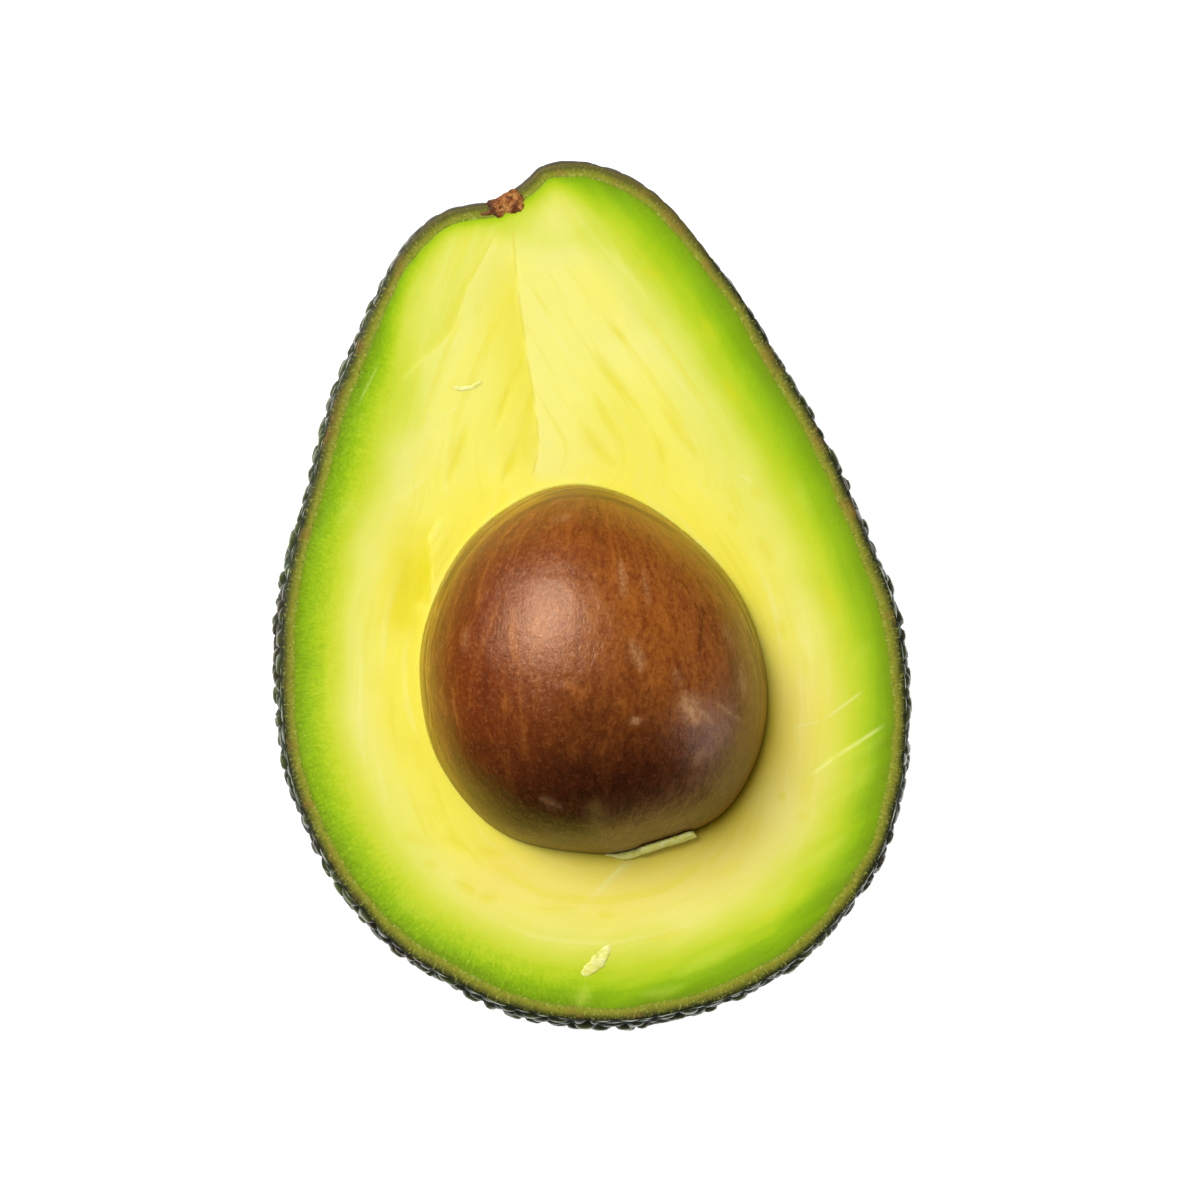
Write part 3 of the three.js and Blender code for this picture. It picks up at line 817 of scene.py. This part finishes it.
def face_relief(points, edge):
    """Height of the cut face above its plane."""
    flat = raised(points, 0.0)
    height = WAVES * smooth_noise(flat, 11.0, 2, 5.0)
    for path, rise, reach in RIDGES:
        distance, share, side = path_distance(points, path)
        ends = fade(-0.01, 0.15, share) * (1 - fade(0.85, 1.01, share))
        step = fade(-0.25, 0.25, -side) * np.exp(-((np.maximum(-side, 0) / reach) ** 2))
        height += rise * ends * step * np.exp(-((distance / (1.6 * reach)) ** 4))
    height -= patch(points, *DENT)
    height -= STREAK_DEPTH * streak_mask(points, STREAKS, STREAK_SPREAD)
    height += ROUGHNESS * smooth_noise(flat, 1.6, 2, 8.0)
    return height * fade(0.0, 1.6, edge)


def make_flesh():
    rim = peel_inner_rim()
    angle = around_pit(rim)
    direction = arm_at(angle)
    widest = pit_radius(angle)
    lip = PIT_CENTRE + direction * (widest * pit_share(MENISCUS) - PIT_OVERLAP)[:, None]
    share = np.append(np.linspace(0, 1 - RIM_STEP, FACE_ROWS - 1), 1.0)[:, None, None]
    face = lip * (1 - share) + rim * share
    flat = face.reshape(-1, 2)
    edge, rim_index = nearest_rim(flat, rim)
    pit_gap = np.linalg.norm(flat - PIT_CENTRE, axis=1) - pit_radius(around_pit(flat)) * pit_share(0)
    sunk = 0.5 * painted_pit_shadow(flat, np.zeros(len(flat)))
    grown = (MENISCUS - sunk) * np.exp(-np.maximum(pit_gap, 0) / MENISCUS_REACH)
    height = face_relief(flat, edge) * fade(-0.2, 1.5, pit_gap) + grown
    face = raised(flat, height).reshape(FACE_ROWS, FLESH_COLUMNS, 3)

    lip_turn = math.asin(-PIT_LEVEL / PIT_HALF_HEIGHT)
    turn = np.linspace(lip_turn, -math.pi / 2, HOLLOW_ROWS + 1)[1:, None]
    depth = PIT_LEVEL + (PIT_HALF_HEIGHT + HOLLOW_GAP) * np.sin(turn)
    hollow = raised(PIT_CENTRE + ((widest + HOLLOW_GAP) * np.cos(turn))[..., None] * direction, depth)
    side = back_rings(rim, BACK_DEPTH - PEEL_THICKNESS, PEEL_THICKNESS - RIM_HEIGHT, SIDE_ROWS)[1:]
    rings = np.concatenate([hollow[::-1][1:], face, side])

    nearest_face_row = np.clip(np.arange(1 - HOLLOW_ROWS, FACE_ROWS + SIDE_ROWS), 0, FACE_ROWS - 1)
    layers = {
        key: values.reshape(FACE_ROWS, FLESH_COLUMNS, *values.shape[1:])[nearest_face_row]
        for key, values in flesh_layers(flat, edge, rim_index, pit_gap, rim).items()
    }
    flesh = skin_object("avocado_flesh", rings, [flesh_material()], layers)
    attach(flesh, "root")
    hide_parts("flesh")


def painted_pit_shadow(points, pit_gap):
    """The mask of the pit's painted shadow on the flesh beneath its bulging flank, on the side away from
    the light.
    """
    turned = (around_pit(points) - PAINTED_SHADOW_ANGLE + 180) % 360 - 180
    near = np.exp(-((np.maximum(pit_gap, 0) / PAINTED_SHADOW_REACH) ** 1.3))
    return near * np.exp(-((turned / PAINTED_SHADOW_SPREAD) ** 2))


def dragged(points):
    """Long smears along the knife's way, on the lower right of the face."""
    along = points[:, 0] * math.cos(DRAG_WAY) + points[:, 1] * math.sin(DRAG_WAY)
    across = points[:, 1] * math.cos(DRAG_WAY) - points[:, 0] * math.sin(DRAG_WAY)
    smear = smooth_noise(np.column_stack([0.12 * along, across, 0 * along]), 1.4, 3, 3.0)
    return smear * fade(6, 26, -points[:, 1]) * fade(-12, 6, points[:, 0])


def flesh_layers(points, edge, rim_index, pit_gap, rim):
    """Masks for the flesh's colours at each point of the cut face."""
    flat = raised(points, 0.0)
    bent = points + 0.45 * np.column_stack([smooth_noise(flat, 5.0, 2, shift) for shift in (11.0, 13.0)])
    angle = around_pit(points)
    width = at_angle(GREEN_WIDTH, angle) * (1 + 0.1 * smooth_noise(flat, 9.0, 2, 2.0))
    band = np.minimum(at_angle(GREEN_START, angle) + edge / width, BAND_REACH)
    lime = strongest(streak_mask(bent, GREEN_STREAKS), patch, bent, LIME_WASHES)
    band = np.where(band > LIME, band + (LIME - band) * lime, band) + DRAG * dragged(points)
    deep = strongest(
        STREAK_STRENGTH * streak_mask(bent, STREAKS, STREAK_SPREAD), patch, bent, DEEP_WASHES)
    pale = strongest(np.zeros(len(points)), patch, bent, PALE_WASHES)
    return {
        "band": band,
        "deep": strongest(deep, flank, points, DEEP_FLANKS),
        "pale": strongest(pale, flank, points, PALE_FLANKS),
        "smears": streak_mask(bent, PALE_STREAKS),
        "warm": patch(bent, *WARM_WASH),
        "near_pit": np.exp(-((np.maximum(pit_gap, 0) / 6.0) ** 1.5)),
        "painted_pit_shadow": painted_pit_shadow(points, pit_gap),
        "knit": 0.2 + 0.8 * fade(4, 22, -points[:, 0] - 0.25 * points[:, 1]),
        "lane": lanes(points, rim, edge),
        "rim_place": np.column_stack([girth_vector(len(rim))[rim_index], edge]),
    }


def flesh_material():
    """Butter-yellow flesh, through pale yellow to green at the peel, with fibres and knife marks."""
    s = Shader(
        "avocado_flesh", IOR=1.4, Specular_IOR_Level=0.2,
        Subsurface_Radius=(1.6, 1.2, 0.4), Subsurface_Scale=MM,
    )
    place = s.place()
    band = s.attribute("band")
    knit = s.attribute("knit")
    fibre_place = s.node("CombineXYZ", {"X": s.times(s.attribute("lane"), 7.0)}).outputs[0]
    fibre_place = s.node("VectorMath", {0: fibre_place, 1: s.stretch(place, 0.03, 0.06, 0.0)}).outputs[0]
    fibres = s.noise(fibre_place, 1.0, 3.0, 0.55, 0.5)
    cloud = s.noise(place, 0.11, 3.0)
    hatch = s.noise(s.stretch(s.attribute("rim_place", "Vector"), 1.0, 1.0, 0.3), 3.0, 3.0, 0.65)
    dots = s.noise(place, 2.8, 2.0, 0.6)
    weave = s.plus(s.times(hatch, 0.65), s.times(dots, 0.35))
    in_green = s.span(band, 7.5, 2.5)
    in_yellow = s.span(band, 4.0, 8.0)
    knitted = s.times(s.less_half(weave), knit, 5.0, in_green)
    moved = s.plus(knitted, s.times(s.less_half(fibres), 1.6))
    level = s.math("DIVIDE", s.plus(band, moved), BAND_REACH)

    marks = [(s.line(place, start, end, half_width, strength), (222, 206, 40))
             for path, half_width, strength in SEAMS for start, end in zip(path, path[1:])]
    marks += [(s.line(place, *scratch), (244, 242, 150)) for scratch in SCRATCHES]
    base = s.coats(
        s.ramp(level, [(distance / BAND_REACH, shade) for distance, shade in GREEN_BAND]),
        (s.attribute("near_pit"), (254, 241, 84)),
        # Pale washes, and on the ridges' raised sides partly painted light.
        (s.times(s.attribute("pale"), in_yellow), (249, 244, 144), 0.7),
        # Warm wash round the pit's lower side: partly painted shade and painted light reflected from the
        # pit.
        (s.attribute("warm"), (250, 224, 118), 0.65),
        (s.times(s.span(fibres, 0.54, 0.72, 0.0, 0.4), in_yellow), (250, 246, 156)),
        (s.times(s.span(fibres, 0.46, 0.34, 0.0, 0.4), in_yellow), (240, 228, 60)),
        (s.times(s.span(cloud, 0.45, 0.75, 0.0, 0.2), in_yellow), (248, 242, 156)),
        (s.attribute("deep"), (236, 221, 4), 0.9),
        # Painted shadow: deep olive-ochre flesh beside the pit, on the side away from the light.
        (s.attribute("painted_pit_shadow"), (186, 154, 4), 0.95),
        # Light specks in the green band: partly its stipple, partly painted glints on the moist flesh.
        (s.times(s.span(dots, 0.6, 0.72), in_green, knit), (206, 228, 96), 0.2),
        (s.attribute("smears"), (220, 234, 84), 0.5),
        *marks,
    )
    grain = s.bump(s.noise(place, 2.4, 3.0, 0.6), 0.02)
    drawn = s.bump(fibres, 0.04, grain)
    stippled = s.bump(s.times(weave, in_green, knit), 0.06, drawn)
    roughness = s.span(cloud, 0.3, 0.7, 0.36, 0.46)
    return s.finish(Base_Color=base, Roughness=roughness, Normal=stippled, Subsurface_Weight=0.2)


# ---------- Pit ----------

PIT_COLUMNS = 400
PIT_ROWS = 190
PIT_HALF_LENGTH = 20.6


def make_pit():
    outline = closed_curve(pit_curve[::4], PIT_COLUMNS)
    turn = np.linspace(math.pi / 2, -math.pi / 2, PIT_ROWS + 2)[1:-1, None]
    level = PIT_CENTRE + np.cos(turn)[..., None] * outline
    rings = raised(level, PIT_LEVEL + PIT_HALF_HEIGHT * np.sin(turn))
    normals = ring_normals(rings)
    relief = 0.12 * (smooth_noise(rings, 7.0, 2, 1.0) - 0.6) + 0.025 * smooth_noise(rings, 1.1, 2, 4.0)
    relief = relief * fade(0.5, 6.0, rings[..., 2])
    rings = rings + normals * relief[..., None]
    pit = skin_object("avocado_pit", rings, [pit_material()], pit_layers(rings))
    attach(pit, "root")
    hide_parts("pit")


# Buff flecks where the seed's thin coat is rubbed: [from, to, half width, strength].
BUFF_MARKS = [
    ((10.0, -10.3), (11.8, -14.4), 1.1, 1.0), ((11.2, -12.0), (13.6, -14.2), 0.5, 0.6),
    ((13.0, -11.3), (17.0, -14.1), 0.3, 0.6), ((4.3, -4.6), (5.7, -8.7), 0.6, 0.7),
    ((4.7, -13.2), (5.1, -14.2), 0.55, 0.9), ((3.1, 4.2), (3.7, -0.5), 0.45, 0.5),
    ((5.6, 3.2), (6.4, -1.5), 0.35, 0.35), ((16.4, -7.2), (16.9, -11.6), 0.5, 0.6),
    ((8.9, -7.6), (9.9, -10.2), 0.4, 0.4), ((-4.5, 8.2), (-2.0, 8.9), 0.4, 0.3),
    ((12.5, -16.5), (11.0, -19.0), 0.5, 0.35), ((14.5, -3.0), (15.8, -6.0), 0.4, 0.35),
    ((-13.6, -3.4), (-14.2, -6.6), 0.35, 0.3), ((-6.0, -22.0), (-3.0, -23.5), 0.4, 0.3),
]
# Painted sheen: a paler grey-brown along the pit's right and lower flank, where it catches light from the
# right.
PAINTED_SHEEN_WASH = ([(17.4, -4.0), (17.0, -12.0), (14.0, -19.6), (8.7, -24.4), (3.0, -26.4)], 2.6, 1.0)
FOOT_WASH = ([(0.4, -23.6), (0.6, -25.2)], 1.1, 0.8)  # the dull spot at the seed's lower end


def pit_layers(rings):
    flat = rings[..., :2].reshape(-1, 2)
    shape = rings.shape[:2]
    above = fade(-1.0, 2.0, rings[..., 2])
    buff = streak_mask(flat, BUFF_MARKS).reshape(shape) * above
    painted_sheen = patch(flat, *PAINTED_SHEEN_WASH).reshape(shape) * above
    foot = patch(flat, *FOOT_WASH).reshape(shape) * above
    along = (rings[..., 1] - PIT_CENTRE[1]) / PIT_HALF_LENGTH
    girth = np.sqrt(np.clip(1 - along**2, 0.02, 1))
    fibre = np.stack([
        (rings[..., 0] - PIT_CENTRE[0]) / girth,
        along * 6.0,
        (rings[..., 2] - PIT_LEVEL) / girth,
    ], axis=2)
    inward = pit_radius(around_pit(flat)) - np.hypot(*(flat - PIT_CENTRE).T)
    return {
        "buff": buff, "painted_sheen": painted_sheen, "foot": foot, "fibre": fibre, "lift": rings[..., 2],
        "inward": inward.reshape(shape),
    }


def pit_material():
    """A moist brown seed: leathery, with fine fibres from end to end, darker below, olive at its foot.

    Part of its colour is painted light and shade: shade below, light to the right, a sheen on its right
    flank, the yellow flesh mirrored at its foot, and contact shade where its lower end meets the flesh.
    """
    s = Shader("avocado_pit", IOR=1.5, Specular_IOR_Level=0.9, Specular_Tint=(1.0, 0.72, 0.5, 1.0))
    place = s.place()
    fibre = s.attribute("fibre", "Vector")
    lift = s.attribute("lift")
    inward = s.attribute("inward")
    threads = s.noise(s.stretch(fibre, 1.0, 1.8, 1.0), 1.5, 6.0, 0.72, 0.3)
    bands = s.noise(s.stretch(fibre, 1.0, 1.3, 1.0), 0.4, 5.0, 0.68, 0.6)
    mottle = s.noise(place, 2.2, 5.0, 0.66)
    blotch = s.noise(place, 0.35, 4.0, 0.65, 0.8)
    from_left = s.part(place, "X")
    slant = s.plus(s.part(place, "Y"), s.times(s.math("MINIMUM", from_left, 0.0), -0.35))
    # Darker towards the lower end and the lower left: partly the seed's own darker end, partly painted
    # shade.
    low_end = s.span(s.plus(slant, s.times(blotch, 8.0)), 0.0, -19.0)
    high_end = s.span(low_end, 0.9, 0.0, 0.2, 1.0)
    # Lighter towards the right: painted light that evens out the fall-off of the lamp's light.
    to_right = s.span(from_left, -14.0, 10.0)
    brown = s.mix(low_end, s.mix(to_right, (126, 52, 1), (168, 94, 24)), (66, 22, 2))
    dark = s.mix(low_end, s.mix(to_right, (116, 46, 2), (136, 62, 8)), (42, 14, 2))
    rubbed = s.mix(s.span(mottle, 0.4, 0.6), (172, 118, 70), (206, 156, 104))

    # The olive ring at the pit's foot: partly the coat's own colour, partly painted reflection of the
    # yellow flesh.
    climb = s.plus(s.times(inward, 1.1), s.times(lift, 0.18))
    rings = s.node("CombineXYZ", {"X": climb}).outputs[0]
    rings = s.node("VectorMath", {0: rings, 1: s.stretch(place, 0.06, 0.06, 0.0)}).outputs[0]
    growth = s.noise(rings, 1.0, 4.0, 0.7, 0.2)
    grown = s.plus(s.times(growth, 1.2), s.times(low_end, 0.9))
    ochre = s.span(s.plus(inward, grown), 2.8, 0.9)
    olive = s.ramp(growth, [
        (0.4, (78, 46, 2)), (0.48, (152, 100, 6)), (0.54, (204, 160, 44)), (0.6, (104, 68, 2)),
    ])
    base = s.coats(
        dark,
        (s.span(threads, 0.34, 0.64), brown),
        (s.times(s.span(bands, 0.5, 0.68, 0.0, 0.42), high_end), (188, 110, 30)),
        (s.span(bands, 0.46, 0.32, 0.0, 0.5), (88, 32, 4)),
        (s.span(mottle, 0.52, 0.7, 0.0, 0.36), s.mix(low_end, (196, 118, 42), (132, 62, 20))),
        (s.span(mottle, 0.5, 0.34, 0.0, 0.3), (92, 40, 6)),
        # Painted sheen on the right and lower flank, streaked by the threads.
        (s.times(s.attribute("painted_sheen"), s.span(threads, 0.35, 0.7, 0.3, 0.9)), (144, 98, 54)),
        (s.times(s.attribute("buff"), s.span(bands, 0.3, 0.5, 0.5, 1.0)), rubbed),
        (s.times(s.attribute("foot"), s.span(threads, 0.3, 0.6, 0.4, 0.9)), (116, 92, 40)),
        (ochre, olive, 0.9),
        (s.times(ochre, low_end), (132, 80, 8), 0.6),
        # Within 2 mm of the cut face: painted reflection of the yellow flesh at the upper end, near black
        # painted contact shade at the lower end.
        (s.span(lift, 2.2, 0.2, 0.0, 0.85), s.mix(low_end, (176, 148, 30), (42, 31, 0))),
    )
    dimpled = s.bump(mottle, 0.04, s.bump(threads, 0.06))
    roughness = s.span(mottle, 0.3, 0.7, 0.27, 0.36)
    return s.finish(Base_Color=base, Roughness=roughness, Normal=dimpled)


# ---------- Stem stub and scraps ----------

STUB_OUTLINE = [
    (-7.9, 44.6), (-7.4, 43.5), (-7.8, 42.8), (-9.0, 42.4), (-10.2, 42.0), (-11.3, 42.3),
    (-12.1, 42.2), (-12.3, 42.5), (-11.3, 42.9), (-11.5, 43.7), (-10.1, 44.3), (-8.8, 45.1),
]
STUB_COLUMNS = 140
STUB_TOP_ROWS = 26
STUB_SIDE_ROWS = 12
STUB_DEPTH = 2.0


def make_stem_stub():
    outline = closed_curve(STUB_OUTLINE, STUB_COLUMNS)
    middle = outline.mean(axis=0)
    top_share = np.linspace(0.03, 1, STUB_TOP_ROWS)[:, None, None]
    top = raised(middle + (outline - middle) * top_share, 0.30 - 0.28 * top_share[..., 0] ** 3)
    turn = np.linspace(0, math.pi / 2, STUB_SIDE_ROWS + 2)[1:-1, None, None]
    under = raised(middle + (outline - middle) * np.cos(turn), -STUB_DEPTH * np.sin(turn[..., 0]))
    rings = np.concatenate([top, under])
    cork = smooth_noise(rings, 0.9, 3, 6.0)
    pores = smooth_noise(rings, 0.45, 2, 2.0)
    relief = 0.22 * cork + 0.1 * pores
    rings = rings + ring_normals(rings) * relief[..., None]
    stub = skin_object("avocado_stem_stub", rings, [cork_material()], {"cork": cork})
    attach(stub, "root")
    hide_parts("stem_stub")


def cork_material():
    """Dry corky tissue: orange-tan fibres with dark pores."""
    s = Shader("avocado_stem_cork", Roughness=0.75, Specular_IOR_Level=0.3)
    place = s.place()
    level = s.plus(s.times(s.attribute("cork"), 0.3), s.noise(place, 2.4, 4.0, 0.7))
    base = s.ramp(level, [
        (0.2, (60, 28, 12)), (0.4, (122, 66, 26)), (0.56, (172, 106, 42)), (0.8, (216, 156, 88)),
    ])
    base = s.mix(s.span(s.part(place, "X"), -10.2, -11.6, 0.0, 0.6), base, (84, 50, 30))
    return s.finish(Base_Color=base, Normal=s.bump(s.noise(place, 3.0, 4.0, 0.7), 0.15))


def scrap_material():
    """Pale, moist scraps of flesh."""
    s = Shader("avocado_scraps", IOR=1.4, Specular_IOR_Level=0.3)
    place = s.place()
    wet = s.noise(place, 1.2, 3.0, 0.6)
    base = s.ramp(wet, [(0.3, (228, 224, 94)), (0.5, (241, 238, 128)), (0.7, (251, 250, 176))])
    return s.finish(Base_Color=base, Roughness=0.35, Normal=s.bump(wet, 0.06))


SCRAP_STATIONS = 46
SCRAP_SIDES = 14


def spread_out(values):
    """Values in even steps along a scrap, as one for each of its stations."""
    return np.interp(np.linspace(0, 1, SCRAP_STATIONS), np.linspace(0, 1, len(values)), values)


def scrap(name, node, path, widths, heights, lift, wear):
    """A scrap of flesh along a path: oval sections with ragged sides, closed at both ends."""
    middle = np.column_stack([spread_out(axis) for axis in zip(*path)])
    kernel = np.ones(7) / 7
    padded = np.pad(middle, ((3, 3), (0, 0)), "edge")
    middle = np.column_stack([np.convolve(padded[:, k], kernel, "valid") for k in (0, 1)])
    along = np.gradient(middle, axis=0)
    along /= np.linalg.norm(along, axis=1, keepdims=True)
    side = np.column_stack([-along[:, 1], along[:, 0]])
    turn = np.linspace(0, 2 * math.pi, SCRAP_SIDES, endpoint=False)
    across = 0.5 * np.cos(turn)[None] * spread_out(widths)[:, None]
    up = 0.5 * (1 + np.sin(turn)[None]) * spread_out(heights)[:, None]
    rings = raised(middle[:, None] + side[:, None] * across[..., None], up + lift)
    ragged = wear * smooth_noise(rings, 0.5, 2, 7.0)
    rings = rings + ring_normals(rings) * ragged[..., None]
    made = skin_object(name, rings, [bpy.data.materials["avocado_scraps"]])
    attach(made, "root")
    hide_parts(node)


# The shaving's height at angles about the pit.
SHAVING_STATIONS = [
    (273.5, 0.05), (278.0, 0.5), (283.5, 0.9), (285.0, 2.2), (296.0, 2.5), (300.5, 2.6), (302.0, 1.9),
]
SHAVING_THICKNESS = 0.9
SHAVING_COLUMNS = 22


def make_shaving():
    """A flat curved shaving of flesh that stands on the cut face and leans on the pit's flank."""
    angles, tops = zip(*SHAVING_STATIONS)
    rings = []
    for degrees in np.linspace(angles[0], angles[-1], 90):
        top = np.interp(degrees, angles, tops)
        ragged = noise.fractal(Vector((degrees * 0.55, 0, 2)), 1.0, 2.0, 3)
        top = max(0.1, top * (1 + 0.12 * ragged))
        way = arm_at(degrees)
        widest = pit_radius(degrees)
        ring = []
        for turn in np.linspace(0, 2 * math.pi, SHAVING_COLUMNS, endpoint=False):
            height = 0.03 + top * (0.5 - 0.5 * math.cos(turn))
            slim = min(1.0, 1.6 * top)
            out = 0.02 + SHAVING_THICKNESS * slim * (0.5 + 0.5 * math.sin(turn))
            x, y = PIT_CENTRE + (widest * pit_share(height) + out) * way
            ring.append((x, y, height))
        rings.append(ring)
    rings = np.array(rings)
    facets = 0.07 * smooth_noise(rings, 1.1, 3, 4.0)
    rings = rings + ring_normals(rings) * facets[..., None]
    rings[..., 2] = np.maximum(rings[..., 2], 0.02)
    made = skin_object("avocado_flesh_shaving", rings, [bpy.data.materials["avocado_scraps"]])
    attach(made, "root")
    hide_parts("flesh_shaving")


def make_scraps():
    scrap_material()
    make_shaving()
    scrap(
        "avocado_flesh_crumb", "flesh_crumb", [(-1.1, -42.2), (0.6, -40.8), (1.6, -39.4), (2.4, -38.7)],
        widths=[0.8, 1.3, 1.6, 1.1, 1.0, 0.6], heights=[0.16, 0.26, 0.34, 0.28, 0.26, 0.16],
        lift=-0.12, wear=0.15,
    )
    scrap(
        "avocado_flesh_sliver", "flesh_sliver",
        [(-15.9, 23.2), (-14.6, 22.95), (-13.4, 23.1), (-12.1, 23.8)],
        widths=[0.3, 0.5, 0.55, 0.5, 0.35], heights=[0.1, 0.14, 0.17, 0.17, 0.12],
        lift=-0.05, wear=0.05,
    )


# ---------- Stage, light and camera ----------

CAMERA_HEIGHT = 1.2  # metres above the cut face
VIEW_WIDTH = 131.9  # millimetres of the cut face across the picture
VIEW_CENTRE = (0.28, 0.19)  # in the fruit's coordinates
SENSOR = 36.0
KEY_WAY = Vector((-0.503, 0.488, 0.711))
HIGH_WAY = Vector((-0.30, 0.29, 0.909))
LIGHT_DISTANCE = 2.4
KEY_SIZE = 0.9
KEY_POWER = 34.0
HIGH_SIZE = 0.8
HIGH_POWER = 29.0
SOFTBOX_SIZE = 1.6
SOFTBOX_POWER = 84.0
STRIP_PLACE = (1.2, -0.45, 0.16)
STRIP_SIZE = 0.5
STRIP_POWER = 2.5
STRIP_SHADE = (0.95, 0.9, 1.0)
STAGE_COLUMNS = 96
FLOOR_RADIUS = 4.0
FLOOR_ALBEDO = 0.35
FLOOR_GLOW = 0.9  # the floor is a light table, so it shows almost no shadow
STAGE_STEP = 0.0001  # the floor and the card lie this far under the fruit and each other
REFLECTOR_GAPS = (40.0, 8.0)  # millimetres from the rim out to the card's outer and inner edges
REFLECTOR_GLOW = 1.7
SKY_AXIS = (-0.5, 0.5, 0.7)
SKY_MIDDLE = 0.4
SKY_TILT = 0.3  # how much brighter the sky is towards its axis


def stage_object(name, corners, faces, albedo, glow):
    """A flat glowing white piece of the stage."""
    mesh = bpy.data.meshes.new(name)
    mesh.from_pydata(corners.tolist(), [], faces)
    s = Shader(name + "_white", Roughness=0.9, Specular_IOR_Level=0.0)
    mesh.materials.append(s.finish(
        Base_Color=(albedo, albedo, albedo, 1), Emission_Color=(1, 1, 1, 1), Emission_Strength=glow,
    ))
    made = add_object(name, mesh)
    return made


def make_floor():
    """A white light table, which the fruit doesn't mirror."""
    edge = FLOOR_RADIUS * arm_at(np.linspace(0, 360, STAGE_COLUMNS, endpoint=False))
    corners = raised(edge, -2 * STAGE_STEP)
    floor = stage_object("floor", corners, [tuple(range(STAGE_COLUMNS))], FLOOR_ALBEDO, FLOOR_GLOW)
    floor.visible_glossy = False


def make_reflector():
    """A flat white card round the fruit, which shows only as thin highlights on its skin."""
    count = STAGE_COLUMNS
    rim = closed_curve(RIM_OUTLINE, count)
    edges = np.vstack([inset(rim, -gap) for gap in REFLECTOR_GAPS])
    corners = raised((edges + SHIFT[:2]) * MM, -STAGE_STEP)
    faces = [(i, (i + 1) % count, count + (i + 1) % count, count + i) for i in range(count)]
    card = stage_object("reflector", corners, faces, 0.0, REFLECTOR_GLOW)
    card.visible_camera = False
    card.visible_diffuse = False
    card.visible_shadow = False


def area_light(name, place, size, power, shade=(1, 1, 1), diffuse=True, glossy=True):
    data = bpy.data.lights.new(name, "AREA")
    data.shape = "DISK"
    data.size = size
    data.energy = power
    data.color = shade
    light = add_object(name, data)
    target = Vector((0, 0, RIM_HEIGHT * MM))
    light.location = Vector(place)
    light.rotation_euler = (target - light.location).to_track_quat("-Z", "Y").to_euler()
    light.visible_diffuse = diffuse
    light.visible_glossy = glossy


def make_sky():
    """A soft white room, brighter on the key light's side."""
    world = bpy.data.worlds.new("studio")
    world.use_nodes = True
    tree = world.node_tree
    background = tree.nodes["Background"]
    direction = tree.nodes.new("ShaderNodeTexCoord").outputs["Generated"]
    towards = tree.nodes.new("ShaderNodeVectorMath")
    towards.operation = "DOT_PRODUCT"
    tree.links.new(direction, towards.inputs[0])
    towards.inputs[1].default_value = SKY_AXIS
    level = tree.nodes.new("ShaderNodeMath")
    level.operation = "MULTIPLY_ADD"
    tree.links.new(towards.outputs["Value"], level.inputs[0])
    level.inputs[1].default_value = SKY_TILT
    level.inputs[2].default_value = SKY_MIDDLE
    tree.links.new(level.outputs[0], background.inputs["Strength"])
    background.inputs["Color"].default_value = (1, 1, 1, 1)
    world.cycles_visibility.glossy = False
    bpy.context.scene.world = world


def make_light():
    area_light("key", KEY_WAY * LIGHT_DISTANCE, KEY_SIZE, KEY_POWER, glossy=False)
    area_light("softbox", KEY_WAY * LIGHT_DISTANCE, SOFTBOX_SIZE, SOFTBOX_POWER, diffuse=False)
    area_light("high_light", HIGH_WAY * LIGHT_DISTANCE, HIGH_SIZE, HIGH_POWER, glossy=False)
    area_light("right_strip", STRIP_PLACE, STRIP_SIZE, STRIP_POWER, STRIP_SHADE)
    make_sky()
    bpy.context.scene.view_settings.view_transform = "Standard"


def make_camera():
    data = bpy.data.cameras.new("camera")
    data.sensor_width = SENSOR
    data.lens = SENSOR * CAMERA_HEIGHT / (VIEW_WIDTH * MM)
    camera = add_object("camera", data)
    centre = in_row_frame([*VIEW_CENTRE, 0.0])[0]
    camera.location = (centre[0], centre[1], RIM_HEIGHT * MM + CAMERA_HEIGHT)
    bpy.context.scene.camera = camera


make_camera()
make_light()
make_floor()
make_reflector()
make_peel()
make_flesh()
make_pit()
make_stem_stub()
make_scraps()
